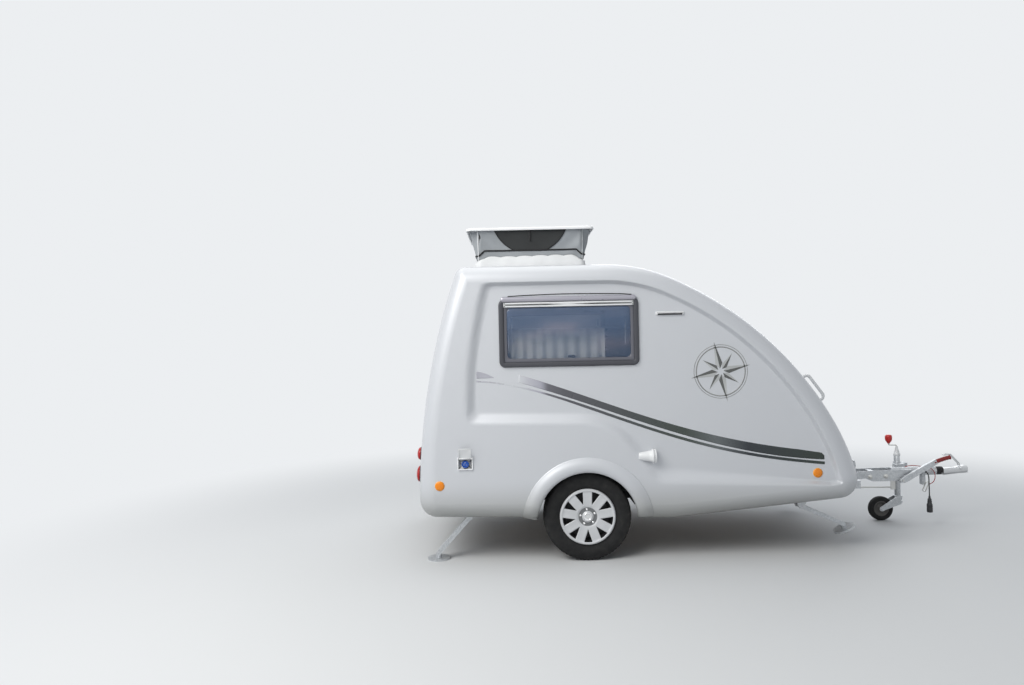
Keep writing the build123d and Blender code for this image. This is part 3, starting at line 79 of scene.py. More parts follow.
def new_piece(name, shape, material, body="caravan", replaces=(), smooth=True, slot=None):
    """A mesh object from a shape: an array of points, and a list or array of faces."""
    points, faces = shape
    mesh = bpy.data.meshes.new(name)
    mesh.from_pydata(np.asarray(points, float).reshape(-1, 3).tolist(), [],
                     [list(map(int, f)) for f in faces])
    mesh.validate()
    mesh.polygons.foreach_set("use_smooth", np.full(len(mesh.polygons), smooth))
    mesh.materials.append(material)
    piece = bpy.data.objects.new(name, mesh)
    bpy.context.scene.collection.objects.link(piece)
    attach(piece, body)
    if replaces:
        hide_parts(*replaces)
    slot = slot or SLOT_OF[material.name]
    return piece


def thickened(piece, thickness, offset=-1):
    """Gives a sheet its thickness, behind its points (-1) or in front of them (1)."""
    wall = piece.modifiers.new("thickness", "SOLIDIFY")
    wall.thickness, wall.offset = thickness, offset
    return piece


def grid_faces(rows, columns, close_rows=False, close_columns=False, flip=False):
    """Quads between neighbours of a rows by columns grid of points, as an array.
    A closed direction joins its last line to its first."""
    i = np.arange(rows if close_rows else rows - 1)[:, None]
    j = np.arange(columns if close_columns else columns - 1)[None, :]
    i2, j2 = (i + 1) % rows, (j + 1) % columns
    quads = np.stack([i * columns + j, i * columns + j2, i2 * columns + j2, i2 * columns + j], -1)
    quads = quads.reshape(-1, 4)
    return quads[:, ::-1] if flip else quads


def grid(points, **options):
    """The shape of a grid of points."""
    return points, grid_faces(*points.shape[:2], **options)

# %% [markdown]
# Most parts here are one of three shapes: a profile carried round a closed path
# (window frames, lamps, lids), a profile turned about an axis (wheels), or a
# round bar along a line (handles, rods). Each comes out as a stack of rings, and
# one function closes a stack into a solid, so no seam or pole is left open.

# %% Closed paths, rings and solids
ONE_STEP = 10


def rounded_rectangle(half_a, half_b, radius, step=ONE_STEP, turns=8):
    """Closed path, anticlockwise, and its outward normals: straight sides cut
    into steps, and quarter circles at the corners."""
    corner = np.radians(np.linspace(0, 90, turns + 1))
    path, normals = [], []
    for k, (sign_a, sign_b) in enumerate(((1, 1), (-1, 1), (-1, -1), (1, -1))):
        way = np.stack([np.cos(corner + k * math.pi / 2), np.sin(corner + k * math.pi / 2)], -1)
        centre = np.array((sign_a * (half_a - radius), sign_b * (half_b - radius)))
        path.append(centre + radius * way)
        normals.append(way)
        side = 2 * (half_a - radius) if k % 2 == 0 else 2 * (half_b - radius)
        count = max(int(round(side / step)), 1)
        along = np.array((-way[-1][1], way[-1][0]))
        path.append(path[-1][-1] + along * (side * np.arange(1, count) / count)[:, None])
        normals.append(np.repeat(way[-1:], count - 1, axis=0))
    return np.vstack(path), np.vstack(normals)


def circle(count):
    """A path that is all centre, with normals all round: a ring of it is a circle."""
    angle = 2 * math.pi * np.arange(count) / count
    normals = np.stack([np.cos(angle), np.sin(angle)], -1)
    return 0 * normals, normals


def rings_of(path, profile):
    """Rings of a path for each (out, up) or (out, up, share) of the profile:
    path + out * normal, drawn together to that share of its size, at height up."""
    points, normals = path
    out, up, share = np.array([(*row, 1)[:3] for row in profile]).T[:, :, None, None]
    flat = share * (points[None] + out * normals[None])
    return np.concatenate([flat, np.broadcast_to(up, flat.shape[:2] + (1,))], -1)


def solid(rings, loop=False):
    """Points and faces of a closed body from rings stacked upwards; a loop joins its
    last ring to its first, and any other stack is capped by a fan at each end."""
    rows, columns = rings.shape[:2]
    points = rings.reshape(-1, 3)
    faces = [tuple(f) for f in grid_faces(rows, columns, close_rows=loop, close_columns=True)]
    if not loop:
        points = np.vstack([points, rings[0].mean(0), rings[-1].mean(0)])
        j = np.arange(columns)
        j2, last, end = (j + 1) % columns, (rows - 1) * columns, rows * columns
        faces += list(zip(j2, j, np.full(columns, end)))
        faces += list(zip(last + j, last + j2, np.full(columns, end + 1)))
    return points, faces


def mm(*profile):
    """A profile in millimetres, as rows of (out, up) or (out, up, share), in metres."""
    return [(out / 1000, up / 1000, *share) for out, up, *share in profile]


def turned(count, profile, loop=False):
    """A profile of (radius, up) turned about the up axis in so many steps."""
    return solid(rings_of(circle(count), profile), loop)


def framed(size, profile, loop=False):
    """A profile of (out, up) carried round a rounded rectangle of this size."""
    return solid(rings_of(rounded_rectangle(*size), profile), loop)


def placed(shape, origin, axes=np.eye(3)):
    """A shape moved from (a, b, up) to the model: origin + a * first axis + ..."""
    points, faces = shape
    return np.asarray(origin, float) + points @ np.asarray(axes, float), faces


def joined(*shapes):
    """Several shapes as one."""
    points, faces, count = [], [], 0
    for shape_points, shape_faces in shapes:
        points.append(shape_points)
        faces += [tuple(int(i) + count for i in f) for f in shape_faces]
        count += len(shape_points)
    return np.vstack(points), faces


def facing(side):
    """Axes of a shape that looks out of the caravan's side: along, up, outwards."""
    return np.array([(-side, 0, 0), (0, 0, 1), (0, side, 0)], float)


FORWARDS = np.array([(0, 1, 0), (0, 0, 1), (1, 0, 0)], float)


def bar(line, radius, count=12, flat=1):
    """A round bar along a line of points: each ring stands square to the line, and is
    turned as little as possible from the one before. radius may vary along it."""
    line = np.asarray(line, float)
    way = np.gradient(line, axis=0)
    way /= np.linalg.norm(way, axis=1)[:, None]
    across = np.cross(way[0], (0.31, 0.17, 0.93))
    frames = []
    for w in way:
        across = across - w * (across @ w)
        across /= np.linalg.norm(across)
        frames.append((across, np.cross(w, across)))
    frames = np.array(frames)
    angle = 2 * math.pi * np.arange(count) / count
    radius = np.broadcast_to(np.asarray(radius, float), (len(line),))[:, None, None]
    return solid(line[:, None] + radius * (np.cos(angle)[None, :, None] * frames[:, None, 0]
                                           + flat * np.sin(angle)[None, :, None] * frames[:, None, 1]))


def smooth_line(points, count=40):
    """A line through the points, rounded as a Catmull-Rom curve."""
    p = np.asarray(points, float)
    p = np.vstack([2 * p[0] - p[1], p, 2 * p[-1] - p[-2]])
    t = np.linspace(0, len(p) - 3 - 1e-9, count)
    k = t.astype(int)
    f = (t - k)[:, None]
    a, b, c, d = p[k], p[k + 1], p[k + 2], p[k + 3]
    return 0.5 * (2 * b + (c - a) * f + (2 * a - 5 * b + 4 * c - d) * f ** 2
                  + (3 * b - a - 3 * c + d) * f ** 3)


def bent_line(points, radii, turns=6):
    """A line with each inner corner rounded by an arc, of one radius or one each."""
    points = np.asarray(points, float)
    line = [points[0]]
    radii = np.broadcast_to(radii, len(points) - 2)
    for before, corner, after, radius in zip(points[:-2], points[1:-1], points[2:], radii):
        a, b = before - corner, after - corner
        a, b = a / np.linalg.norm(a), b / np.linalg.norm(b)
        half = math.acos(np.clip(a @ b, -1, 1)) / 2
        centre = corner + (a + b) / np.linalg.norm(a + b) * radius / math.sin(half)
        start, end = corner + a * radius / math.tan(half), corner + b * radius / math.tan(half)
        for f in np.linspace(0, 1, turns + 1):
            way = (start - centre) * (1 - f) + (end - centre) * f
            line.append(centre + way / np.linalg.norm(way) * radius)
    line.append(points[-1])
    return np.array(line)


def bolt(radius):
    """A washer under a chamfered hexagonal head, standing up from zero."""
    washer = turned(18, [(1.45 * radius, -0.001), (1.45 * radius, 0.18 * radius),
                         (1.35 * radius, 0.25 * radius)])
    head = turned(6, [(1.15 * radius, 0.1 * radius), (1.15 * radius, 0.85 * radius), (radius, radius)])
    return joined(washer, head)

# %% [markdown]
# Materials are small node trees. One helper sets nodes and links them by name,
# and one makes the shader with up to three noises that move its tone, its gloss
# and its relief, because no real surface is even.

# %% Material helpers
def feed(tree, node, **settings):
    """Sets a node's inputs and properties by name. An output given as a value is linked."""
    for key, value in settings.items():
        socket = node.inputs.get(key.replace("_", " "))
        if socket is None:
            setattr(node, key, value)
        elif isinstance(value, bpy.types.NodeSocket):
            tree.links.new(value, socket)
        else:
            socket.default_value = value
    return node


def add(tree, kind, **settings):
    """A new shader node, fed with its settings."""
    return feed(tree, tree.nodes.new("ShaderNode" + kind), **settings)


def combined(tree, operation, a, b):
    """A Math node over two values."""
    node = add(tree, "Math", operation=operation)
    tree.links.new(a, node.inputs[0])
    tree.links.new(b, node.inputs[1])
    return node.outputs[0]


def coordinate(tree, axis=None, kind="Object"):
    """The Object coordinates, or one axis of them."""
    place = add(tree, "TexCoord").outputs[kind]
    return add(tree, "SeparateXYZ", Vector=place).outputs[axis] if axis else place


def noise(tree, scale, detail, stretch=(1, 1, 1)):
    """A noise on Object coordinates, stretched along an axis if asked."""
    mapping = add(tree, "Mapping", Vector=coordinate(tree), Scale=stretch)
    return add(tree, "TexNoise", Vector=mapping.outputs["Vector"], Scale=scale, Detail=detail).outputs["Fac"]


def ramp(tree, fac, stops):
    """A colour ramp over fac, with (position, colour) stops."""
    node = add(tree, "ValToRGB", Fac=fac)
    while len(node.color_ramp.elements) < len(stops):
        node.color_ramp.elements.new(0.5)
    for element, (position, colour) in zip(node.color_ramp.elements, stops):
        element.position = position
        element.color = (*colour, 1)
    return node.outputs["Color"]


def spread(tree, fac, start, end, since=0, until=1, **settings):
    """fac moved from the range since to until to the range start to end."""
    return add(tree, "MapRange", Value=fac, From_Min=since, From_Max=until, To_Min=start, To_Max=end,
               **settings).outputs["Result"]


def bump(tree, height, strength, distance):
    """The normal that a height gives."""
    return add(tree, "Bump", Height=height, Strength=strength, Distance=distance).outputs["Normal"]


def shader(name, slot, colour, roughness, metallic=0, tones=None, gloss=None, relief=None, **sockets):
    """A material with one Principled shader, its tree and its shader. Each noise is (scale,
    detail, two values, stretch): tones has a ramp's stops in place of the two values,
    gloss its two roughnesses, and relief the bump's strength and distance."""
    material = bpy.data.materials.new(name)
    material.use_nodes = True
    material.diffuse_color = (*colour, 1)
    SLOT_OF[material.name] = slot
    tree = material.node_tree
    principled = tree.nodes["Principled BSDF"]
    feed(tree, principled, Base_Color=(*colour, 1), Roughness=roughness, Metallic=metallic, **sockets)
    if tones:
        scale, detail, stops, *stretch = tones
        feed(tree, principled, Base_Color=ramp(tree, noise(tree, scale, detail, *stretch), stops))
    if gloss:
        scale, detail, smooth, rough, *stretch = gloss
        feed(tree, principled, Roughness=spread(tree, noise(tree, scale, detail, *stretch), smooth, rough))
    if relief:
        scale, detail, strength, distance, *stretch = relief
        feed(tree, principled, Normal=bump(tree, noise(tree, scale, detail, *stretch), strength, distance))
    return material, tree, principled

# %% [markdown]
# The paint is a silver metallic under clear lacquer. Its flakes are far smaller
# than a pixel, so they only make the gloss a little uneven. Towards the sill its
# colour darkens: painted shade, where the skirt rolls under and faces the ground.

# %% Silver paint
PAINT_COLOUR, SILL_SHADE_COLOUR = (0.6, 0.615, 0.645), (0.36, 0.365, 0.355)
SILL_SHADE_FOOT, SILL_SHADE_TOP = 0.28, 0.6
paint, tree, principled = shader("silver_paint", "body_paint", PAINT_COLOUR, 0.4, 0.28,
                                 gloss=(900, 2, 0.38, 0.48), relief=(6, 3, 0.04, 0.01), Coat_Weight=0.35,
                                 Coat_Roughness=0.14)
# Painted shade: the base colour darkens from this height down to the sill, where the skirt rolls under.
height = spread(tree, coordinate(tree, "Z"), 0, 1, SILL_SHADE_FOOT, SILL_SHADE_TOP, interpolation_type="SMOOTHSTEP")
feed(tree, principled, Base_Color=ramp(tree, height, [(0, SILL_SHADE_COLOUR), (1, PAINT_COLOUR)]))
underseal = shader("underseal", None, (0.022, 0.022, 0.021), 0.9, gloss=(60, 4, 0.8, 1),
                   relief=(120, 4, 0.4, 0.002))[0]

# %% [markdown]
# The other finishes. Each is plain stuff with the one or two things that give it
# away close up: zinc crystals on galvanised steel, grain in moulded plastic,
# ribs in a lens, threads in cloth, dust on a tyre.

# %% Plastics and rubber
def moulded(name, slot, colour, roughness=0.42, grain=420, depth=0.08, metallic=0, **sockets):
    """Moulded plastic: a fine even grain, and a slow drift of gloss."""
    return shader(name, slot, colour, roughness, metallic, gloss=(7, 3, roughness - 0.06, roughness + 0.09),
                  relief=(grain, 2, depth, 0.0006), **sockets)[0]


lid_white = moulded("lid_white", "white_plastic", (0.84, 0.85, 0.86), 0.3, 200, 0.03, Coat_Weight=0.3)
white_plastic = moulded("white_plastic", "white_plastic", (0.78, 0.79, 0.8), 0.34, 300, 0.04, Coat_Weight=0.2)
black_plastic = moulded("black_plastic", "black_plastic", (0.022, 0.023, 0.026), 0.42)
housing_plastic = moulded("housing_plastic", None, (0.03, 0.031, 0.033), 0.62, 160, 0.2)
frame_plastic = moulded("window_frame_plastic", "window_trim", (0.055, 0.057, 0.068), 0.38)
border_print = moulded("pane_border_print", "window_trim", (0.12, 0.122, 0.145), 0.3)
gutter_alloy = moulded("gutter_alloy", "window_trim", (0.42, 0.41, 0.46), 0.28, metallic=0.6)
red_plastic = moulded("red_plastic", "red_plastic", (0.52, 0.018, 0.014), 0.32)
grip_red = moulded("grip_red", "red_plastic", (0.2, 0.012, 0.012), 0.42)
hub_plastic = moulded("jockey_hub_plastic", "grey_plastic", (0.09, 0.085, 0.08), 0.5)
orange_base = moulded("orange_base", "orange_lens", (0.9, 0.36, 0.012), 0.35)
blue_plastic = moulded("blue_plastic", "grey_plastic", (0.015, 0.09, 0.42), 0.36)
seal_rubber = moulded("seal_rubber", "black_rubber", (0.014, 0.014, 0.016), 0.66, 700, 0.1)
bellows_rubber = moulded("bellows_rubber", "black_rubber", (0.018, 0.018, 0.02), 0.58, 500, 0.1)
cable_jacket = moulded("cable_jacket", "black_rubber", (0.016, 0.016, 0.017), 0.5, 900, 0.05)
red_jacket = moulded("red_jacket", "red_plastic", (0.34, 0.02, 0.016), 0.42, 900, 0.05)
cover_silver = moulded("cover_silver", "cover_silver", (0.6, 0.61, 0.63), 0.3, 900, 0.02, Coat_Weight=0.5)
lining_white = moulded("lining_white", "white_plastic", (0.62, 0.62, 0.6), 0.6, 120, 0.1)
plate_white = moulded("plate_white", "plate_white", (0.8, 0.8, 0.79), 0.4, 900, 0.03)
DUSTY_RUBBER = [(0.35, (0.015, 0.015, 0.016)), (0.62, (0.024, 0.024, 0.024)), (0.8, (0.045, 0.042, 0.038))]
tyre_rubber = shader("tyre_rubber", "black_rubber", (0.02, 0.02, 0.021), 0.72, tones=(22, 6, DUSTY_RUBBER),
                     gloss=(22, 6, 0.6, 0.85), relief=(260, 3, 0.12, 0.0008), Specular_IOR_Level=0.22)[0]

# %% Metals
def plain_metal(name, slot, colour, roughness, metallic=1):
    """Bare or painted metal: stretched noise for its working marks, slow noise for handling."""
    return shader(name, slot, colour, roughness, metallic, gloss=(9, 5, roughness - 0.07, roughness + 0.12),
                  relief=(160, 2, 0.05, 0.0005, (1, 1, 6)))[0]


galvanised, tree, principled = shader("galvanised_steel", "galvanised", (0.54, 0.56, 0.58), 0.38, 0.8,
                                      gloss=(30, 4, 0.36, 0.58), relief=(90, 4, 0.06, 0.0008))
crystals = add(tree, "TexVoronoi", Vector=coordinate(tree), Scale=110).outputs["Color"]
crystal_shade = add(tree, "SeparateColor", Color=crystals).outputs["Red"]
feed(tree, principled, Base_Color=ramp(tree, crystal_shade, [
    (0, (0.47, 0.49, 0.51)), (0.5, (0.53, 0.55, 0.57)), (1, (0.6, 0.615, 0.63))]))
coupling_metal = plain_metal("coupling_metal", "galvanised", (0.62, 0.63, 0.64), 0.36, 0.85)
zinc = plain_metal("bolt_zinc", "galvanised", (0.6, 0.6, 0.58), 0.3)
chrome = plain_metal("hub_chrome", "galvanised", (0.86, 0.86, 0.86), 0.12)
# A dark metal for the wheel trim's hollow round the nuts: painted shade.
painted_recess_shade = plain_metal("painted_recess_shade", None, (0.2, 0.205, 0.21), 0.34, 0.7)
rim_steel = plain_metal("rim_steel", None, (0.03, 0.03, 0.032), 0.5, 0.4)
alloy = plain_metal("stay_alloy", "grey_plastic", (0.75, 0.76, 0.77), 0.32)

# %% Lenses and panes
def lens(name, slot, colour, clear=0.35):
    """A lamp's lens: coloured plastic that lets some light through, moulded in fine ribs."""
    material, tree, principled = shader(name, slot, colour, 0.12, gloss=(60, 3, 0.08, 0.2),
                                        Transmission_Weight=clear, IOR=1.49)
    ribs = add(tree, "TexWave", Vector=coordinate(tree), wave_type="RINGS", rings_direction="Y",
               Scale=420 / 6.3)
    feed(tree, principled, Normal=bump(tree, ribs.outputs["Fac"], 0.25, 0.0008))
    return material


red_lens = lens("red_lens", "red_lens", (0.55, 0.012, 0.01))
orange_lens = lens("orange_lens", "orange_lens", (0.95, 0.27, 0.006), 0.1)
clear_lens = lens("clear_lens", None, (0.82, 0.84, 0.86), 0.6)

# The pane's base colour is a slow noise of blues: a painted reflection of clouds. The pane is more opaque
# towards its top, so that painted reflection fills the upper part.
PAINTED_CLOUD_REFLECTION = [(0.38, (0.095, 0.15, 0.26)), (0.55, (0.135, 0.185, 0.295)), (0.68, (0.215, 0.235, 0.335))]
BLIND_FOOT, BLIND_TOP = 1.5, 1.72
acrylic, tree, principled = shader("tinted_acrylic", "window_acrylic", (0.12, 0.18, 0.29), 0.05,
                                   tones=(2.6, 5, PAINTED_CLOUD_REFLECTION, (1, 1, 3.2)), gloss=(5, 3, 0.03, 0.09),
                                   IOR=1.49)
feed(tree, principled, Alpha=spread(tree, coordinate(tree, "Z"), 0.3, 0.62, BLIND_FOOT, BLIND_TOP,
                                    interpolation_type="SMOOTHSTEP"))
door_acrylic = shader("dark_acrylic", "window_acrylic", (0.05, 0.058, 0.065), 0.06, gloss=(5, 3, 0.04, 0.1),
                      Transmission_Weight=0.3, IOR=1.49, Coat_Weight=0.8, Coat_Roughness=0.03)[0]

# %% Cloth and boards
def woven(name, colour, threads=900, depth=0.25, roughness=0.75, drift=0.1):
    """Cloth: two crossed waves are its threads, and a slow noise its soiling."""
    soiled = [(0.3, tuple(c * (1 - drift) for c in colour)),
              (0.7, tuple(min(c * (1 + drift), 0.85) for c in colour))]
    material, tree, principled = shader(name, "bellows_fabric", colour, roughness, tones=(3.5, 5, soiled),
                                        gloss=(3.5, 5, roughness - 0.08, roughness + 0.08), Sheen_Weight=0.25,
                                        Sheen_Roughness=0.5)
    waves = [add(tree, "TexWave", Vector=coordinate(tree), bands_direction=direction, Scale=threads / 6.3,
                 Distortion=0.6).outputs["Fac"] for direction in ("X", "Z")]
    feed(tree, principled, Normal=bump(tree, combined(tree, "MULTIPLY", *waves), depth, 0.0006))
    return material


tent_cloth = woven("tent_cloth", (0.3, 0.32, 0.34), 700, 0.15, 0.6)
hem_cloth = woven("hem_cloth", (0.74, 0.75, 0.76), 700, 0.15, 0.55)
strap_cloth = woven("strap_cloth", (0.42, 0.44, 0.45), 800, 0.2, 0.7)
dark_mesh = woven("window_mesh", (0.022, 0.024, 0.025), 500, 0.5, 0.8)
zip_tape = woven("zip_tape", (0.006, 0.006, 0.007), 900, 0.4, 0.85)
curtain_cloth = woven("curtain_cloth", (0.7, 0.71, 0.68), 500, 0.3, 0.85, 0.16)
GRAIN = (1, 9, 9)
floor_ply = shader("floor_ply", None, (0.3, 0.2, 0.12), 0.6, gloss=(5, 6, 0.5, 0.7, GRAIN),
                   tones=(5, 6, [(0.3, (0.2, 0.13, 0.075)), (0.7, (0.36, 0.25, 0.15))], GRAIN),
                   relief=(5, 6, 0.1, 0.0008, GRAIN))[0]

# %% Foils on the panel
def foil_finish(name, colour, roughness=0.3, metallic=0.2):
    """Printed foil: a smooth gloss with a little drift of tone."""
    tones = [(0.3, tuple(c * 0.88 for c in colour)), (0.7, tuple(min(1, c * 1.15 + 0.004) for c in colour))]
    return shader(name, "body_paint", colour, roughness, metallic, tones=(6, 3, tones),
                  gloss=(6, 3, roughness - 0.05, roughness + 0.08), Coat_Weight=0.4, Coat_Roughness=0.08)[0]


sky_reflection_foil = foil_finish("sky_reflection_foil", (0.42, 0.42, 0.47))
rose_light = foil_finish("rose_light_grey", (0.44, 0.45, 0.45), 0.4, 0)
rose_mid = foil_finish("rose_mid_grey", (0.26, 0.265, 0.26), 0.4, 0)
rose_dark = foil_finish("rose_dark_grey", (0.085, 0.088, 0.085), 0.4, 0)

STRIPE_REAR, STRIPE_FRONT = -0.765, 1.674
STRIPE_TONES_AND_SKY_REFLECTION = [
    (0, (0.42, 0.42, 0.47)), (0.05, (0.5, 0.5, 0.54)), (0.09, PAINT_COLOUR), (0.125, PAINT_COLOUR),
    (0.15, (0.5, 0.5, 0.55)), (0.185, (0.4, 0.4, 0.46)), (0.205, (0.13, 0.13, 0.15)),
    (0.26, (0.085, 0.085, 0.098)), (0.45, (0.052, 0.06, 0.062)), (0.6, (0.036, 0.05, 0.04)),
    (0.69, (0.11, 0.125, 0.13)), (0.78, (0.012, 0.018, 0.026)), (1, (0.012, 0.024, 0.016))]
stripe_foil, tree, principled = shader("stripe_foil", "body_paint", (0.07, 0.08, 0.085), 0.25, 0.25,
                                       gloss=(6, 3, 0.2, 0.34), Coat_Weight=0.5, Coat_Roughness=0.06)
# Painted reflection: the pale stops near the rear end of this ramp paint bright sky reflected in the dark
# foil.
along = spread(tree, coordinate(tree, "X"), 0, 1, AXLE_X + STRIPE_REAR, AXLE_X + STRIPE_FRONT)
feed(tree, principled, Base_Color=ramp(tree, along, STRIPE_TONES_AND_SKY_REFLECTION))

# %% [markdown]
# The body is a moulded drop: one outline seen from the side, a little taller on
# the centre line, with its long edges rolled over to the flat sides. The
# outline is roof, four arcs down the front, sill, base, a rounded foot, the
# leaning rear and a rounded top corner, so a point on it is named by one number:
# the whole part says which stretch, the rest how far along it.

# %% The outline of the body
HALF_WIDTH = 0.94
PANEL_HALF_WIDTH = 0.902
EDGE_ROUND = 0.11
ROOF_Z, ROOF_CROWN = 2.088, 0.035
ROOF_BEND = AXLE_X + 0.14
FRONT_ARCS = ((1.25, 1.2, 24), (2.817, 2.34, 36.4), (1.152, 1.88, 14.4), (0.134, 0.134, 100.7))
SILL_FRONT = (AXLE_X + 0.62, 0.285)
SILL_REAR = (AXLE_X - 1.075, 0.322)
REAR_POINTS = ((AXLE_X - 1.18, 0.48), (AXLE_X - 1.107, 1.255), (AXLE_X - 0.905, 2.032))
REAR_CROWN = 0.025
FOOT_ROUND, TOP_ROUND, SMALL_ROUND = 0.125, 0.075, 0.01


def circle_through(a, b, c):
    """Centre and radius of the circle through three points."""
    rows = np.array([[b[0] - a[0], b[1] - a[1]], [c[0] - b[0], c[1] - b[1]]])
    sums = 0.5 * np.array([np.dot(b, b) - np.dot(a, a), np.dot(c, c) - np.dot(b, b)])
    centre = np.linalg.solve(rows, sums)
    return centre, float(np.hypot(*(centre - a)))


REAR_CENTRE, REAR_RADIUS = circle_through(*map(np.array, REAR_POINTS))
SLOPE = (SILL_REAR[1] - SILL_FRONT[1]) / (SILL_REAR[0] - SILL_FRONT[0])


def crown_at(y):
    """The camber of roof, nose and rear: 1 on the centre line, 0 at the side walls."""
    return 1 - (y / HALF_WIDTH) ** 2


def base_z(x, gap):
    """Height of the base line at x."""
    return SILL_FRONT[1] + gap + (x - SILL_FRONT[0]) * SLOPE


def arc(centre_x, centre_z, radius, start, end, f):
    """Point at the share f between two headings, measured from up to forward."""
    heading = start + (end - start) * f
    return centre_x + radius * np.sin(heading), centre_z + radius * np.cos(heading)


def outline(t, y, gap=0):
    """Point t of the side outline at y, drawn in by gap: (x, z). All may be arrays."""
    t, y, gap = np.broadcast_arrays(np.asarray(t, float), np.asarray(y, float), np.asarray(gap, float))
    part = np.clip(np.floor(t), 0, 9).astype(int)
    f = t - part
    crown = crown_at(y)
    roof_z = ROOF_Z + ROOF_CROWN * crown - gap
    rear_x = REAR_CENTRE[0] - REAR_CROWN * crown + gap
    # rounded top corner and foot, between a line and the rear arc
    top_round = np.maximum(TOP_ROUND - gap, SMALL_ROUND)
    top_z = roof_z - top_round
    top_x = rear_x - np.sqrt((REAR_RADIUS - top_round) ** 2 - (top_z - REAR_CENTRE[1]) ** 2)
    foot_round = np.maximum(FOOT_ROUND - gap, SMALL_ROUND)
    foot_x = np.full_like(gap, SILL_REAR[0])
    for _ in range(6):
        foot_z = base_z(foot_x, gap) + foot_round * math.hypot(1, SLOPE)
        foot_x = rear_x - np.sqrt((REAR_RADIUS - foot_round) ** 2 - (foot_z - REAR_CENTRE[1]) ** 2)
    top_heading = np.arctan2(top_x - rear_x, top_z - REAR_CENTRE[1])
    foot_heading = np.arctan2(foot_x - rear_x, foot_z - REAR_CENTRE[1])
    base_heading = math.atan(SLOPE) - math.pi
    pieces = [(top_x + (ROOF_BEND - top_x) * f, roof_z)]
    x, z, heading = np.full_like(gap, ROOF_BEND), roof_z, 0
    for radius_centre, radius_side, turn in FRONT_ARCS:
        radius = radius_side + (radius_centre - radius_side) * crown - gap
        centre_x, centre_z = x - radius * math.sin(heading), z - radius * math.cos(heading)
        end = heading + math.radians(turn)
        pieces.append(arc(centre_x, centre_z, radius, heading, end, f))
        x, z = arc(centre_x, centre_z, radius, heading, end, 1)
        heading = end
    sill_z = SILL_FRONT[1] + gap
    pieces.append((x + (SILL_FRONT[0] - x) * f, z + (sill_z - z) * f))
    base_end = foot_x + foot_round * math.sin(base_heading)
    base_x = SILL_FRONT[0] + (base_end - SILL_FRONT[0]) * f
    pieces.append((base_x, base_z(base_x, gap)))
    pieces.append(arc(foot_x, foot_z, foot_round, base_heading, foot_heading, f))
    pieces.append(arc(rear_x, REAR_CENTRE[1], REAR_RADIUS, foot_heading, top_heading, f))
    pieces.append(arc(top_x, top_z, top_round, top_heading, 0, f))
    pieces = [np.broadcast_arrays(px, pz, gap)[:2] for px, pz in pieces]
    return np.choose(part, [p[0] for p in pieces]), np.choose(part, [p[1] for p in pieces])

# %% [markdown]
# The flat side holds the sunken panel. Its floor keeps a constant margin from
# the roof and the nose, runs down an arc behind the window, and follows the
# shoulder over the wheel. Outside that line a soft slope climbs back to the
# wall. It is steep at the top, broad over the wheel, and runs out to nothing at
# the nose.

# %% Depth of the sunken side panel
PANEL_MARGIN, MARGIN_SLOPE = 0.111, 0.028
PANEL_REAR = ((-0.772, 1.06), (-0.748, 1.5), (-0.668, 1.955))
REAR_SLOPE = ((1.08, 1.37, 1.92), (0.076, 0.072, 0.044))
SHOULDER = ((-0.9, 1.066), (0.199, 1.045), (0.525, 0.652), (1.712, 0.531), (2.4, 0.461))
SHOULDER_ROUNDS = (0.54, 0.06, 0.5)
SHOULDER_SLOPE = ((0, 0.25, 0.5, 1.71), (0.083, 0.078, 0.118, 0.03))


def distance_to(path, x, z):
    """Distance from each (x, z) to a polyline."""
    a, b = path[:-1], path[1:]
    d = b - a
    best = np.full(x.shape, 1e9)
    for (ax, az), (dx, dz) in zip(a, d):
        f = np.clip(((x - ax) * dx + (z - az) * dz) / max(dx * dx + dz * dz, 1e-12), 0, 1)
        best = np.minimum(best, (x - ax - f * dx) ** 2 + (z - az - f * dz) ** 2)
    return np.sqrt(best)


shoulder_path = bent_line(SHOULDER, SHOULDER_ROUNDS, 23) + (AXLE_X, 0)
front_t = np.concatenate([np.linspace(0, 1, 8)[:-1], np.linspace(1, 4.999, 90)])
margin_path = np.stack(outline(front_t, HALF_WIDTH), -1)
panel_rear_centre, panel_rear_radius = circle_through(*(np.array((AXLE_X + x, z)) for x, z in PANEL_REAR))


def rounded_ramp(s, soft=0.3):
    """0 below 0 and 1 above 1, straight between, with both bends rounded."""
    s = np.clip(s, 0, 1)
    rise = 1 / (1 - soft)
    return np.where(s < soft, rise * s ** 2 / (2 * soft),
                    np.where(s > 1 - soft, 1 - rise * (1 - s) ** 2 / (2 * soft), rise * (s - soft / 2)))


def soft_min(a, b, blend):
    """The smaller of two values, rounded where they are within blend of each other."""
    h = np.clip(blend - np.abs(a - b), 0, None) / blend
    return np.minimum(a, b) - h * h * blend / 4


def panel_depth(x, z):
    """How far the side is sunk: each edge gives a share, 0 at the top of its slope
    and 1 at the floor's line, and the smallest of the three goes through the ramp."""
    margin = (distance_to(margin_path, x, z) - PANEL_MARGIN) / MARGIN_SLOPE
    from_centre = np.hypot(x - panel_rear_centre[0], z - panel_rear_centre[1])
    rear = 1 + (panel_rear_radius - from_centre) / np.interp(z, *REAR_SLOPE)
    above = np.sign(z - np.interp(x, shoulder_path[:, 0], shoulder_path[:, 1]))
    shoulder = 1 + above * distance_to(shoulder_path, x, z) / np.interp(x - AXLE_X, *SHOULDER_SLOPE)
    inside = soft_min(soft_min(margin, rear, 1.2), shoulder, 0.7)
    return (HALF_WIDTH - PANEL_HALF_WIDTH) * rounded_ramp(inside)

# %% [markdown]
# The side is filled by a net that is stretched between four stretches of its
# edge: base, nose, roof and rear. Its lines are packed where the panel's slopes
# run. The same edge points then carry on round the rolled edge and across the
# roof, so that the whole skin is one closed net.

# %% The skin's net
SIDE_STEPS = (180, 104)


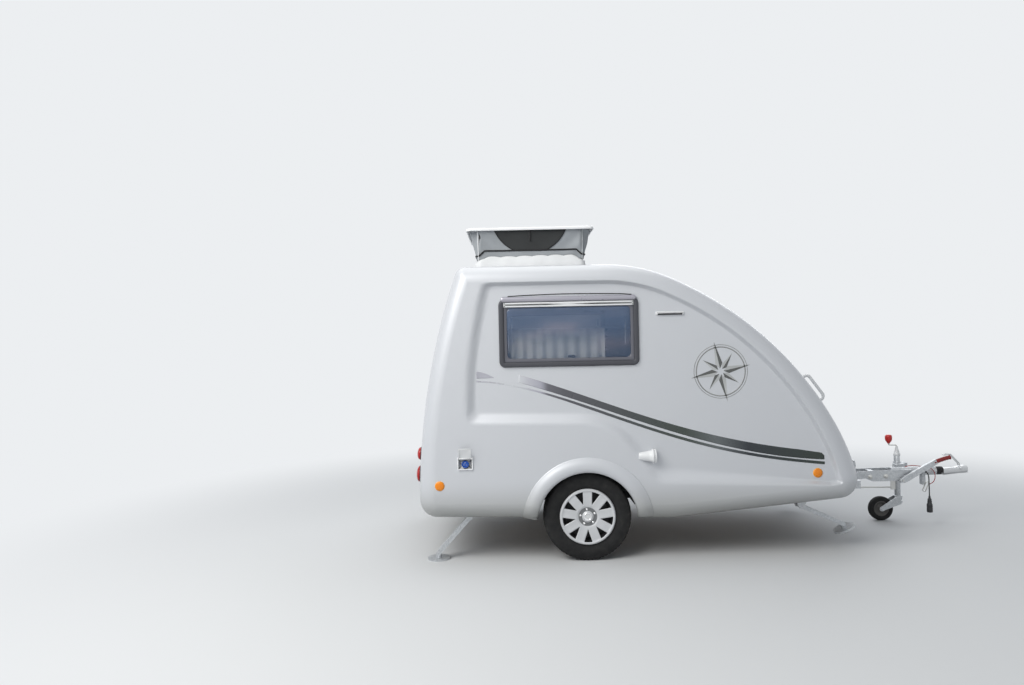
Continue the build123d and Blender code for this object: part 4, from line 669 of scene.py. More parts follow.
def packed(count, dense):
    """Shares from 0 to 1, with more steps inside each (from, to, weight) stretch."""
    f = np.linspace(0, 1, 2001)
    weight = np.ones_like(f)
    for start, end, extra in dense:
        weight[(f >= start) & (f <= end)] = extra
    total = np.concatenate([[0], np.cumsum((weight[1:] + weight[:-1]) / 2)])
    return np.interp(np.linspace(0, total[-1], count + 1), total, f)


def edge_t(start, end, shares):
    """Outline numbers between two corners at these shares of the length. The length is
    the mean of the inner and the outer outline, so that the rounded corners, tiny
    on the inner one, get their steps too."""
    t = np.linspace(start, end, 1500)
    length = np.zeros(len(t))
    for gap in (EDGE_ROUND, 0):
        x, z = outline(np.mod(t, 10), HALF_WIDTH, gap)
        length[1:] += np.cumsum(np.hypot(np.diff(x), np.diff(z)))
    return np.interp(shares * length[-1], length, t)


columns = packed(SIDE_STEPS[0], [(0, 0.02, 3), (0.07, 0.16, 2.4), (0.93, 1, 2.2)])
rows = packed(SIDE_STEPS[1], [(0, 0.04, 2.6), (0.94, 1, 4.2), (0.28, 0.56, 1.5)])
corner_foot, corner_nose, corner_brow, corner_top = 7.5, 4.9, 3.6, 9.5
t_bottom = edge_t(corner_foot, corner_nose, columns)
t_front = edge_t(corner_nose, corner_brow, rows)
t_roof = edge_t(corner_top, corner_brow + 10, columns)
t_rear = edge_t(corner_foot, corner_top, rows)


def side_net():
    """Coons patch: each inner point blends the four edges of the side."""
    bottom, front, roof, rear = (np.stack(outline(np.mod(t, 10), HALF_WIDTH, EDGE_ROUND), -1)
                                 for t in (t_bottom, t_front, t_roof, t_rear))
    u, v = columns[None, :, None], rows[:, None, None]
    across = (1 - v) * bottom[None] + v * roof[None]
    along = (1 - u) * rear[:, None] + u * front[:, None]
    corners = ((1 - u) * (1 - v) * bottom[0] + u * (1 - v) * bottom[-1] + (1 - u) * v * roof[0]
               + u * v * roof[-1])
    return across + along - corners


net = side_net()
depth = panel_depth(net[..., 0], net[..., 1])

# %% The whole skin as one piece
FLAT_Y = HALF_WIDTH - EDGE_ROUND
WHEEL_ARCH = 0.345
UNDER = {"rear": AXLE_X - 1.075, "front": AXLE_X + 1.7, "half": 0.8, "nose_half": 0.483, "top": 0.45}
WINDOW = {"rear": AXLE_X - 0.6, "front": AXLE_X + 0.384, "low": 1.376, "high": 1.856}
HATCH = {"rear": AXLE_X - 0.735, "front": AXLE_X + 0.01, "half": 0.375}
DOOR = {"half": 0.31, "low": 0.5, "high": 1.83}


def net_loop(net_rows, net_columns):
    """Indices round the edge of a net: bottom, front, roof and rear."""
    index = np.arange(net_rows * net_columns).reshape(net_rows, net_columns)
    return np.concatenate([index[0], index[1:, -1], index[-1, -2::-1], index[-2:0:-1, 0]])


loop = net_loop(*net.shape[:2])
loop_t = np.concatenate([t_bottom, t_front[1:], t_roof[-2::-1], t_rear[-2:0:-1]])
turn = np.linspace(90, 0, 9)[1:-1]
edge_y = FLAT_Y + EDGE_ROUND * np.sin(np.radians(turn))
edge_gap = EDGE_ROUND * (1 - np.cos(np.radians(turn)))
middle_y = np.array([0.83, 0.8, 0.73, 0.65, 0.57, UNDER["nose_half"], 0.43, HATCH["half"], DOOR["half"],
                     0.24, 0.16, 0.08])
station_y = np.concatenate([-edge_y, -middle_y, [0], middle_y[::-1], edge_y[::-1]])
station_gap = np.concatenate([edge_gap, 0 * middle_y, [0], 0 * middle_y, edge_gap[::-1]])
ring_x, ring_z = outline(np.mod(loop_t[None], 10), station_y[:, None], station_gap[:, None])

side_points = {side: np.stack([net[..., 0], side * (HALF_WIDTH - depth), net[..., 1]], -1).reshape(-1, 3)
               for side in (-1, 1)}
ring_points = np.stack([ring_x, np.broadcast_to(station_y[:, None], ring_x.shape), ring_z], -1)
skin_points = np.vstack([side_points[-1], side_points[1], ring_points.reshape(-1, 3)])
side_count = len(side_points[-1])
rings = np.vstack([loop, 2 * side_count + np.arange(ring_x.size).reshape(ring_x.shape), loop + side_count])
a, b = rings[:-1], rings[1:]
a2, b2 = np.roll(a, -1, axis=1), np.roll(b, -1, axis=1)
skin_faces = np.vstack([
    grid_faces(*net.shape[:2]),
    grid_faces(*net.shape[:2], flip=True) + side_count,
    np.stack([a, b, b2, a2], -1).reshape(-1, 4)])


def in_window(x, z, margin):
    """Whether (x, z) is in a side window by more than the margin."""
    return ((x > WINDOW["rear"] + margin) & (x < WINDOW["front"] - margin) & (z > WINDOW["low"] + margin)
            & (z < WINDOW["high"] - margin))


def in_hatch(x, y, z, low):
    """Whether a point is in the roof's hatch, above this height."""
    return (y < HATCH["half"]) & (x > HATCH["rear"]) & (x < HATCH["front"]) & (z > low)


def in_door(x, y, z):
    """Whether a point is in the rear door's column, below its top."""
    return (y < DOOR["half"]) & (x < AXLE_X - 0.8) & (z < DOOR["high"])


def cut_openings(points, faces):
    """Leaves out the faces inside each opening, where another piece covers the edge."""
    x, y, z = points[faces].mean(1).T
    y = np.abs(y)
    wall = in_window(x, z, 0.02) | (np.hypot(x - AXLE_X, z - AXLE_Z) < WHEEL_ARCH + 0.03)
    under = (y < UNDER["half"]) & (x > UNDER["rear"]) & (x < UNDER["front"])
    nose = (y < UNDER["nose_half"]) & (x >= UNDER["front"])
    gone = (y > 0.6) & wall | (under | nose) & (z < UNDER["top"])
    return faces[~(gone | in_hatch(x, y, z, 2) | in_door(x, y, z) & (z > DOOR["low"]))]


def used_only(points, faces):
    """Drops the points that no face uses."""
    used, back = np.unique(faces, return_inverse=True)
    return points[used], back.reshape(faces.shape)


skin_points, skin_faces = used_only(skin_points, cut_openings(skin_points, skin_faces))
body_skin = new_piece("body_skin", (skin_points, skin_faces), paint, replaces=["body_shell"])
body_skin.data.materials.append(underseal)
thickened(body_skin, 0.004).modifiers[0].material_offset = 1

# %% [markdown]
# Stripes and printed foils lie on the skin whatever its shape, so their points
# are sent along Y onto the skin's own faces and stop just proud of them.

# %% Laying foils on the skin
skin_tree = BVHTree.FromPolygons(skin_points.tolist(), skin_faces.tolist())


def on_skin(x, z, side, proud):
    """Points at (x, z) that stand proud of the skin's side by a little."""
    x, z = np.broadcast_arrays(x, z)
    hits = [skin_tree.ray_cast((px, side * 2, pz), (0, -side, 0))[0]
            for px, pz in zip(x.ravel().tolist(), z.ravel().tolist())]
    y = np.array([hit[1] if hit else side * PANEL_HALF_WIDTH for hit in hits]).reshape(x.shape)
    return np.stack([x, y + side * proud, z], -1)

# %% [markdown]
# The side windows are dark moulded frames that stand out from the panel. Inside
# them a white hinge rail lies along the top, and a tinted acrylic pane hangs
# from it, with a flat printed border and a raised middle. Behind the pane are
# two stays, a latch and a half-height curtain on a thin rail.

# %% Side windows
WINDOW_X = (WINDOW["rear"] + WINDOW["front"]) / 2
WINDOW_Z = (WINDOW["low"] + WINDOW["high"]) / 2
FRAME_A, FRAME_B = (WINDOW["front"] - WINDOW["rear"]) / 2, (WINDOW["high"] - WINDOW["low"]) / 2
frame_path = rounded_rectangle(FRAME_A, FRAME_B, 0.042)
frame_rings = rings_of(frame_path, mm(
    (-20, -28), (-20, -2), (0, -2), (0, 10), (-3, 16), (-9, 18), (-28, 18), (-33, 15), (-36, 8), (-36, -28)))
RAIL_Z, RAIL_HALF = 1.8143, 0.016
rail_shape = framed((FRAME_A - 0.036, RAIL_HALF, 0.003), mm(
    (0, -4), (0, 18), (-2, 20), (-10.5, 20), (-11, 19.4), (-15, 19.4)))
PANE_LOW, PANE_HIGH = WINDOW["low"] + 0.037, RAIL_Z - RAIL_HALF
PANE_A, PANE_B = FRAME_A - 0.0365, (PANE_HIGH - PANE_LOW) / 2
PANE_Z = (PANE_LOW + PANE_HIGH) / 2
BORDER, TOP_BORDER = 0.024, 0.007
raised, raised_normals = rounded_rectangle(PANE_A - BORDER, PANE_B - (BORDER + TOP_BORDER) / 2, 0.03)
raised = (raised + (0, (BORDER - TOP_BORDER) / 2), raised_normals)
pane_rings = np.concatenate([
    rings_of(rounded_rectangle(PANE_A, PANE_B, 0.007), mm((0, -1), (0, 4.5))),
    rings_of(raised, mm(
        (2, 5), (0, 7.5), (-4, 9.5), (-4, 10.5, 0.9), (-4, 11.8, 0.66), (-4, 12.5, 0.36), (-4, 12.7, 0.1)))])
border_rings = np.concatenate([
    rings_of(rounded_rectangle(PANE_A + 0.001, PANE_B + 0.001, 0.007), mm((0, 4.2), (0, 6.2), (-1, 6.6))),
    rings_of(raised, mm((3.5, 6.6), (3, 6), (3, 4.2)))])
GUTTER_HALF = 0.0175
quarter = np.radians((0, 12, 25, 38, 51, 64, 77, 86))
gutter_out, gutter_up = (GUTTER_HALF - 0.0006) * (np.cos(quarter) - 1), 0.017 + 0.011 * np.sin(quarter)
gutter_shape = framed((FRAME_A - 0.016, GUTTER_HALF, GUTTER_HALF - 0.0003),
                      [(0, 0), *zip(gutter_out, gutter_up)])
ROD_Z, CURTAIN_Y = 1.645, 0.862
drip = [(-0.425, 1.876), (-0.3, 1.881), (-0.05, 1.8865), (0.2, 1.884), (0.36, 1.88), (0.445, 1.874)]


def curtain(side, rear, front, low, high, y, folds=0.009, pitch=0.074):
    """Cloth hung in soft folds: y = folds * sin(2 pi x / pitch), deeper towards the foot."""
    x = np.linspace(rear, front, 150)[None, :]
    f = np.linspace(0, 1, 14)[:, None]
    wave = np.sin(2 * math.pi * (x - rear) / pitch + 0.9 * np.sin(9 * x)) * (0.55 + 0.45 * f)
    z = high - f * (high - low) + 0.002 * np.sin(23 * x) * f
    points = np.stack([x + 0 * f, side * (y + folds * wave), z], -1)
    lengths = np.linalg.norm(np.diff(points, axis=1), axis=2).sum(1)
    return points, (float(lengths.mean()), high - low)


for name, side in SIDES:
    place = (WINDOW_X, side * PANEL_HALF_WIDTH, WINDOW_Z)
    pane_place = (WINDOW_X, side * PANEL_HALF_WIDTH, PANE_Z)
    rail_place = (WINDOW_X, side * PANEL_HALF_WIDTH, RAIL_Z)
    new_piece(f"side_window_frame_{name}", placed(solid(frame_rings, loop=True), place, facing(side)),
              frame_plastic, replaces=[f"window_frame_{name}"])
    new_piece(f"side_window_pane_{name}", placed(solid(pane_rings), pane_place, facing(side)), acrylic,
              replaces=[f"window_pane_{name}"])
    new_piece(f"side_window_border_{name}", placed(solid(border_rings, loop=True), pane_place, facing(side)),
              border_print)
    new_piece(f"side_window_rail_{name}", placed(rail_shape, rail_place, facing(side)), white_plastic,
              smooth=False)
    new_piece(f"side_window_gutter_{name}",
              placed(gutter_shape, (WINDOW_X, side * (PANEL_HALF_WIDTH - 0.001), 1.8525), facing(side)),
              gutter_alloy)
    line = smooth_line([(WINDOW_X + x, side * (PANEL_HALF_WIDTH + 0.001), z) for x, z in drip], 30)
    new_piece(f"side_window_drip_{name}", bar(line, 0.0032, 10), seal_rubber)
    inner_y = PANEL_HALF_WIDTH - 0.016
    stays = [bar([(AXLE_X + x, side * inner_y, low_z), (AXLE_X + x + 0.003, side * inner_y, high_z)],
                 0.0055, 14)
             for x, low_z, high_z in ((-0.512, 1.545, 1.722), (0.292, 1.52, 1.728))]
    knobs = [placed(turned(16, mm((8, 0), (8, 7), (5, 10))),
                    (AXLE_X + x, side * (inner_y - 0.004), z), facing(side))
             for x, z in ((-0.511, 1.772), (0.293, 1.752))]
    new_piece(f"window_stays_{name}", joined(*stays, *knobs), alloy)
    latch_shape = framed((0.026, 0.009, 0.008), mm((0, 0), (0, 8), (-4, 12)))
    new_piece(f"window_latch_{name}",
              placed(latch_shape, (AXLE_X - 0.09, side * (inner_y - 0.004), 1.446), facing(side)),
              black_plastic)
    points, flat = curtain(side, AXLE_X - 0.53, AXLE_X + 0.15, 1.395, ROD_Z, CURTAIN_Y)
    cloth = new_piece(f"window_curtain_{name}", grid(points, flip=side > 0), curtain_cloth)
    thickened(cloth, 0.0012)
    rod_ends = [(AXLE_X + x, side * CURTAIN_Y, ROD_Z) for x in (-0.575, 0.36)]
    rod = new_piece(f"curtain_rod_{name}", bar(rod_ends, 0.003, 10), alloy)

# %% [markdown]
# The pop-top is a thin lid over a fabric skirt. The skirt is wide under the lid
# and narrow on the roof, its corners are pulled tight and its faces sag inwards
# a little between them. Each long face has a dark half-round mesh window with a
# zip, a black cord runs round below it, and a white hem with a wavy top covers
# the roof's upstand.

# %% Lid
LID = {"rear": AXLE_X - 0.845, "front": AXLE_X + 0.137, "half": 0.455, "low": 2.406}
LID_X, LID_A = (LID["rear"] + LID["front"]) / 2, (LID["front"] - LID["rear"]) / 2
lid_path = rounded_rectangle(LID_A, LID["half"], 0.045, 0.12)
lid_rings = rings_of(lid_path, mm(
    (-60, 18, 0.2), (-30, 18), (-12, 16), (-10, 1), (-2, 0), (0, 3), (0, 13), (-2, 18), (-8, 22), (-20, 24.8),
    (-20, 26.2, 0.9), (-20, 27, 0.88), (-20, 28, 0.6), (-20, 28.7, 0.3), (-20, 29, 0.1)))
new_piece("roof_lid", placed(solid(lid_rings), (LID_X, 0, LID["low"])), lid_white, body="pop_top_lid",
          replaces=["pop_top_lid"])

# %% Fabric skirt
FOLD_Z, CLOTH_TOP = 2.1853, 2.4187
FOOT_SIZE, TOP_SIZE = (0.408, 0.4, 0.014), (0.4655, 0.43, 0.085)


def folds_down(piece):
    """Gives the piece a mesh of its own."""
    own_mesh(piece)


def skirt_size(f):
    """Half length, half width and corner cut at height f, foot 0 to top 1."""
    return [foot + (top - foot) * f for foot, top in zip(FOOT_SIZE, TOP_SIZE)]


def cloth_sag(share, f):
    """How far a face is drawn in: sag = 4 f (1 - f) times the way from its two ends,
    with pulls that fade away from the ends and a slow wave between."""
    middle, sag = 4 * share * (1 - share), 4 * f * (1 - f)
    pull = sum(np.exp(-s / 0.16) * np.sin(26 * s + 9 * f) for s in (share, 1 - share))
    return sag * (0.013 * middle ** 0.5 + 0.008 * pull + 0.0032 * np.sin(19 * share + 3) * middle)


def skirt_grid(f, out=0):
    """Rings of the skirt at heights f. Its outline is a rectangle with cut corners:
    each long face, cut and end face is a straight line between two corners at
    that height, pushed in by the sag of the cloth."""
    f = np.asarray(f, float)[:, None]
    a, b, cut = skirt_size(f)
    corners = [(sx * (a - cut * at_x), sy * (b - cut * (1 - at_x)))
               for sx, sy, order in ((1, -1, (1, 0)), (1, 1, (0, 1)), (-1, 1, (1, 0)), (-1, -1, (0, 1)))
               for at_x in order]
    rows = []
    for k, (start, end) in enumerate(zip(corners, corners[1:] + corners[:1])):
        is_cut = k % 2 == 0
        share = np.linspace(0, 1, 9 if is_cut else 61)[None, :-1]
        way = np.array([end[0][-1, 0] - start[0][-1, 0], end[1][-1, 0] - start[1][-1, 0]])
        way = way / np.linalg.norm(way)
        inward = cloth_sag(share, f) * (0.12 if is_cut else 1 if k % 4 == 3 else 0.35) - out
        x = start[0] + (end[0] - start[0]) * share - way[1] * inward
        y = start[1] + (end[1] - start[1]) * share + way[0] * inward
        rows.append(np.stack([x + LID_X, y, np.broadcast_to(FOLD_Z + (CLOTH_TOP - FOLD_Z) * f, x.shape)], -1))
    return np.concatenate(rows, axis=1)


skirt = skirt_grid(np.linspace(0, 1, 24))
skirt_piece = new_piece("roof_skirt", grid(skirt, close_columns=True), tent_cloth,
                        replaces=["pop_top_fabric"])
thickened(skirt_piece, 0.0015, 1)
folds_down(skirt_piece)


def on_long_face(side, x, z, out):
    """A point on the skirt's long face at (x, z): its height gives f, and its place
    between the two corners there gives the share along the face."""
    f = (z - FOLD_Z) / (CLOTH_TOP - FOLD_Z)
    a, b, cut = skirt_size(f)
    share = np.clip((a - cut - side * (x - LID_X)) / (2 * (a - cut)), 0, 1)
    return np.stack([x, side * (b - cloth_sag(share, f) + out), z], -1)


TAPE_F = 0.31
TAPE_Z = FOLD_Z + (CLOTH_TOP - FOLD_Z) * TAPE_F
for name, side in SIDES:
    half, rise, radius = 0.271, 2.53, 0.2975
    a = np.linspace(-1, 1, 61)
    edge_z = np.maximum(rise - np.sqrt(radius ** 2 - (half * a) ** 2), TAPE_Z + 0.001)
    f = np.linspace(0, 1, 16)[:, None]
    x = LID_X + half * a[None, :] + 0 * f
    z = edge_z[None, :] + (CLOTH_TOP - 0.01 - edge_z[None, :]) * f
    mesh_points = on_long_face(side, x, z, 0.0042)
    mesh_window = new_piece(f"skirt_mesh_window_{name}", grid(mesh_points, flip=side > 0), dark_mesh)
    thickened(mesh_window, 0.0012)
    folds_down(mesh_window)
    rim_points = on_long_face(side, LID_X + half * a, edge_z, 0.005)
    rim = new_piece(f"skirt_window_piping_{name}", bar(rim_points, 0.0042, 8), zip_tape)
    folds_down(rim)
    zip_z = np.linspace(2.33, 2.405, 8)
    zip_line = on_long_face(side, np.full(8, LID_X), zip_z, 0.007)
    zip_piece = new_piece(f"skirt_zip_{name}", bar(zip_line, np.linspace(0.0085, 0.006, 8), 8), zip_tape,
                          slot="black_plastic")
    folds_down(zip_piece)
    for end, sign in (("rear", -1), ("front", 1)):
        strap_z = np.linspace(FOLD_Z - 0.01, 2.408, 16)
        a_half, b_half, cut = skirt_size((strap_z - FOLD_Z) / (CLOTH_TOP - FOLD_Z))
        strap_x = LID_X + sign * (a_half - 0.75 * cut)
        strap_line = np.stack([strap_x, side * (b_half - 0.25 * cut + 0.006), strap_z], -1)
        cloth = hem_cloth if end == "rear" else strap_cloth
        strap = new_piece(f"skirt_strap_{end}_{name}", bar(strap_line, 0.0042, 8), cloth)
        folds_down(strap)
        if end == "rear":
            belt_line = strap_line[7:15] + (0.016, side * 0.003, 0)
            belt = new_piece(f"skirt_buckle_{name}",
                             bar(belt_line, np.array([4, 7, 8, 8, 8, 8, 7, 4]) / 1000, 10), zip_tape,
                             slot="black_plastic")
            folds_down(belt)

# %% The tape round the skirt and the hem
tape_rows = skirt_grid(np.linspace(0, 1, 41), out=0.003)
on_end = np.abs(tape_rows[12, :, 0] - LID_X)
drop = np.clip((on_end - 0.353) / 0.038, 0, 1)
tape_row = (TAPE_F - 0.16 * drop) * 40
below = np.floor(tape_row).astype(int)
share = (tape_row - below)[:, None]
column = np.arange(len(tape_row))
tape_ring = tape_rows[below, column] * (1 - share) + tape_rows[below + 1, column] * share
tape_ring = np.vstack([tape_ring, tape_ring[:1]])
tape_piece = new_piece("skirt_edge_tape", bar(tape_ring, 0.0066, 8), zip_tape)
folds_down(tape_piece)
hem_f = np.linspace(0, 1, 9)
hem_outline, hem_normals = rounded_rectangle(FOOT_SIZE[0] + 0.006, FOOT_SIZE[1] + 0.006, 0.04, 0.012, 8)
s = np.concatenate([[0], np.cumsum(np.linalg.norm(np.diff(hem_outline, axis=0), axis=1))])
corner = np.clip((np.abs(hem_outline[:, 0]) - 0.315) / 0.09, 0, 1)
wavy = 2.207 + 0.009 * np.abs(np.sin(s * 26)) ** 0.8 + 0.0025 * np.sin(s * 9.3) - 0.04 * corner ** 1.5
HEM_FOOT_Z = 2.118
hem_out = 0.004 + 0.006 * np.sin(math.pi * hem_f ** 0.7)
hem = hem_outline + hem_normals * hem_out[:, None, None]
hem = np.concatenate([hem + (LID_X, 0), (HEM_FOOT_Z + (wavy - HEM_FOOT_Z) * hem_f[:, None])[..., None]], -1)
hem_piece = new_piece("skirt_hem", grid(hem, close_columns=True), hem_cloth)
thickened(hem_piece, 0.002, 1)

# %% [markdown]
# A smooth flared lip runs over each wheel arch: thick and round at the opening,
# then a soft slope back to the wall with a fine line at its outer edge. It is a
# grid of radius and angle about the axle. Near the skirt's foot the wall rolls
# under, so the lip follows the wall there.

# %% Arch flares
ARCH_DROP = 0.035


def wall_y(x, z):
    """Half width of the wall: flat, and a quarter circle of the edge's radius where
    the point is less than that far inside the side outline."""
    inside = np.minimum(distance_to(whole_outline, x, z), EDGE_ROUND)
    return FLAT_Y + np.sqrt(np.maximum(EDGE_ROUND ** 2 - (EDGE_ROUND - inside) ** 2, 0))


whole_outline = np.stack(outline(np.mod(np.linspace(0, 10, 2400), 10), HALF_WIDTH, 0), -1)
flare_profile = np.array(mm(
    (362, -34), (353.5, -28), (352.5, 2), (354.5, 10), (361, 17.5), (372, 23), (388, 25.2), (404, 24.5),
    (418, 21.5), (432, 16), (445, 9.5), (453, 6.6), (457, 5.4), (459, 3.2), (460, -3)))
flare_angle = np.radians(np.linspace(3.6, 176.4, 150))
for name, side in SIDES:
    r, proud = flare_profile[:, :1], flare_profile[:, 1:]
    x = AXLE_X + r * np.cos(flare_angle)
    z = AXLE_Z - ARCH_DROP + r * np.sin(flare_angle)
    y = side * (wall_y(x, z) + proud)
    flare = new_piece(f"arch_lip_{name}", grid(np.stack([x, y, z], -1), flip=side < 0), paint,
                      replaces=[f"arch_flare_{name}"])
    thickened(flare, 0.003)

# %% [markdown]
# The stripes are dark foil on the sunken panel: a broad band that runs from
# behind the window, under it, to a rounded end near the nose, and a thin line
# that follows below it. Near their rear ends both carry a painted reflection of
# bright sky: pale at the start, fading out under the window.

# %% Stripes
STRIPE_TOP = ((-0.443, 1.317), (-0.246, 1.249), (0.251, 1.076), (0.79, 0.897), (1.299, 0.789), (1.672, 0.737))
STRIPE_FOOT = ((-0.48, 1.27), (-0.283, 1.217), (0.123, 1.065), (0.619, 0.902), (1.127, 0.757), (1.672, 0.684))
THIN_LINE = ((-0.765, 1.281), (-0.56, 1.262), (-0.301, 1.19), (0.207, 1.014), (0.788, 0.82), (1.297, 0.706),
             (1.674, 0.659))


def eased(points, x):
    """Heights over x on the smoothest quartic near the points."""
    known = np.array(points)
    return np.polyval(np.polyfit(known[:, 0], known[:, 1], 4), x)


def foil(name, side, top_z, foot_z, x, material, thick=0.0012, corner=0):
    """A thin closed strip on the sunken panel between two heights over x."""
    f = np.array([0, 0.12, 0.5, 0.88, 1])[:, None]
    z = foot_z + (top_z - foot_z) * f
    front = corner * (1 - np.sqrt(np.clip(1 - np.clip((f - 0.45) / 0.55, 0, 1) ** 2, 0, 1)))
    xs = AXLE_X + x - front * np.clip((x - x[0]) / (x[-1] - x[0]) * 12 - 11, 0, 1)
    return thickened(new_piece(name, grid(on_skin(xs, z, side, thick), flip=side > 0), material), 0.001)


stripe_x = np.linspace(-0.47, 1.672, 190)
thin_x = np.linspace(-0.765, 1.674, 200)
for name, side in SIDES:
    foil(f"broad_stripe_{name}", side, eased(STRIPE_TOP, stripe_x), eased(STRIPE_FOOT, stripe_x), stripe_x,
         stripe_foil, corner=0.05)
    thin = eased(THIN_LINE, thin_x)
    half = 0.0045 + 0.0055 * np.clip((thin_x + 0.5) / 0.5, 0, 1)
    foil(f"thin_stripe_{name}", side, thin + half, thin - half, thin_x, stripe_foil)
    # This pale smear at the stripe's rear end is a painted reflection of bright sky.
    smear_x = np.linspace(-0.765, -0.64, 16)
    share = (smear_x + 0.765) / 0.125
    foil(f"stripe_start_{name}", side, 1.352 - 0.045 * share ** 1.6, 1.303 + 0.003 * share, smear_x,
         sky_reflection_foil)

# %% [markdown]
# Ahead of the window sits a printed motif in greys. The one here is a plain wind
# rose of the builder's own: a ring, eight points and a small star, each point
# light on one half and dark on the other.

# %% Wind rose on the panel
ROSE = (AXLE_X + 0.955, 1.318)


def rose_point(angle, reach, width, inner):
    """Two triangles of a star's point: its tip, its waist on both sides, its foot."""
    tip = reach * np.array((math.cos(angle), math.sin(angle)))
    foot = inner * np.array((math.cos(angle), math.sin(angle)))
    left = width * np.array((math.cos(angle + 0.42), math.sin(angle + 0.42)))
    right = width * np.array((math.cos(angle - 0.42), math.sin(angle - 0.42)))
    return (tip, left, foot), (tip, foot, right)


for name, side in SIDES:
    halves = {"light": [], "dark": []}
    for k in range(8):
        reach, width = ((0.215, 0.062), (0.15, 0.05))[k % 2]
        first, second = rose_point(math.radians(45 * k + 12), reach, width, 0.02)
        halves["light"].append(first)
        halves["dark"].append(second)
    for tone, material in (("light", rose_light), ("dark", rose_dark)):
        x, z = np.add(ROSE, np.array(halves[tone]).reshape(-1, 2)).T
        points = np.stack([x, side * (HALF_WIDTH - panel_depth(x, z) + 0.0008), z], -1)
        faces = np.arange(len(points)).reshape(-1, 3)[:, ::-side]
        thickened(new_piece(f"wind_rose_{tone}_{name}", (points, faces), material, smooth=False), 0.0012)
    for number, (inner, outer) in enumerate(((0.168, 0.176), (0.186, 0.19)), 1):
        ring = turned(96, [(inner, -0.0005), (outer, -0.0005), (outer, 0.0008), (inner, 0.0008)], loop=True)
        place = (ROSE[0], side * PANEL_HALF_WIDTH, ROSE[1])
        new_piece(f"wind_rose_ring_{number}_{name}", placed(ring, place, facing(side)), rose_mid)

# %% [markdown]
# A tyre is a profile turned about the axle. The same turning gives the tread:
# the radius dips by a few millimetres in four grooves round the tyre, and on the
# shoulders in cross grooves whose angle is a function of the turn.

# %% Tyres
TYRE_MIDDLE = 0.8075
tyre_half = np.array(mm(
    (186, -66), (190, -74), (197, -78.5), (203, -79), (210, -83.5), (222, -88), (238, -91.5), (252, -93),
    (266, -91.5), (280, -87.5), (290, -83.5), (292.5, -83.2), (300, -79), (305.5, -73.5), (308.5, -68),
    (310, -61), (310.5, -56), (304, -54.5), (304, -49.5), (311, -48), (311.8, -30), (311.8, -23),
    (305, -21.5), (305, -16.5), (312, -15), (312.3, -5)))
r, across = np.vstack([tyre_half, tyre_half[::-1] * (1, -1)]).T
turn_count = 288
turn_angle = 2 * math.pi * np.arange(turn_count) / turn_count
shoulder = np.clip((np.abs(across) - 0.05) / 0.004, 0, 1) * np.clip((0.086 - np.abs(across)) / 0.006, 0, 1)
block = (np.arange(turn_count)[None, :] + (across[:, None] > 0) * 2) % 4 == 0
radius = r[:, None] - 0.0055 * (shoulder * (r > 0.289))[:, None] * block
inner_rib = (np.abs(across) < 0.05) & (r > 0.3105)
skew = (np.arange(turn_count)[None, :] + np.round(across[:, None] / 0.012).astype(int)) % 8 == 0
radius = radius - 0.0035 * (inner_rib[:, None] & skew)
wall_ring = np.exp(-((r - 0.235) / 0.004) ** 2) + np.exp(-((r - 0.274) / 0.0025) ** 2)
out = across + np.sign(across) * 0.0012 * wall_ring
tyre_rings = np.stack([radius * np.cos(turn_angle), radius * np.sin(turn_angle),
                       np.broadcast_to(out[:, None], radius.shape)], -1)
for name, side in SIDES:
    shape = placed(solid(tyre_rings, loop=True), (AXLE_X, side * TYRE_MIDDLE, AXLE_Z), facing(side))
    new_piece(f"road_tyre_{name}", shape, tyre_rubber, body=f"wheel_{name}", replaces=[f"tyre_{name}"])

# %% [markdown]
# The wheel trim is a silver plastic dish with nine spokes. Its grid is radius by
# angle, and the angles are bent so that grid lines run along the windows' edges:
# in each ninth of a turn the first half of the lines lies on the spoke and the
# second half on the window. The window's faces are then left out.

# %% Wheel trims
TRIM_BACK = 0.88
SPOKES, SPOKE_STEPS = 9, 16
OPEN_FROM, OPEN_TO = 0.0905, 0.1775
trim_r = np.concatenate([np.linspace(0.012, 0.03, 3),
                         [0.034, 0.04, 0.047, 0.054, 0.061, 0.066, 0.07, 0.075, 0.082],
                         np.linspace(OPEN_FROM, OPEN_TO, 16),
                         [0.18, 0.184, 0.188, 0.191, 0.1945, 0.197, 0.198]])
u = np.arange(SPOKE_STEPS) / SPOKE_STEPS
t = np.clip((trim_r - OPEN_FROM) / (OPEN_TO - OPEN_FROM), 0, 1)
ninth = 2 * math.pi / SPOKES
spoke_half = np.arcsin(np.clip((0.0305 + 0.002 * t) / np.maximum(trim_r, 0.031), 0, 1))
edge = np.minimum(spoke_half, ninth / 2 - 0.012)[:, None]
spoke_part, window_part = np.clip(2 * u, 0, 1), np.clip(2 * u - 1, 0, 1)
angle = np.where(u < 0.5, -edge + 2 * edge * spoke_part, edge + (ninth - 2 * edge) * window_part)
angle = angle[:, None, :] + ninth * np.arange(SPOKES)[None, :, None]
angle = angle.reshape(len(trim_r), -1) + math.pi / 2
hollow = np.tile(np.where(u < 0.5, 4 * spoke_part * (1 - spoke_part), 0), SPOKES)[None, :]
dish = np.interp(trim_r, [0, 0.03, 0.034, 0.04, 0.066, 0.075, 0.09, 0.13, 0.176, 0.18, 0.188, 0.194, 0.198],
                 [0.018, 0.018, 0.0165, 0.0095, 0.0095, 0.015, 0.0178, 0.02, 0.0195, 0.0215, 0.0235, 0.0205,
                  0.011])
in_spokes = np.clip((trim_r - 0.075) / 0.012, 0, 1) * np.clip((0.18 - trim_r) / 0.006, 0, 1)
up = dish[:, None] - 0.0022 * in_spokes[:, None] * hollow
NUT_CIRCLE = 0.053
nut_angle = math.pi / 2 + 0.12 + 2 * math.pi * np.arange(5) / 5
trim_points = np.stack([trim_r[:, None] * np.cos(angle), trim_r[:, None] * np.sin(angle), up], -1)
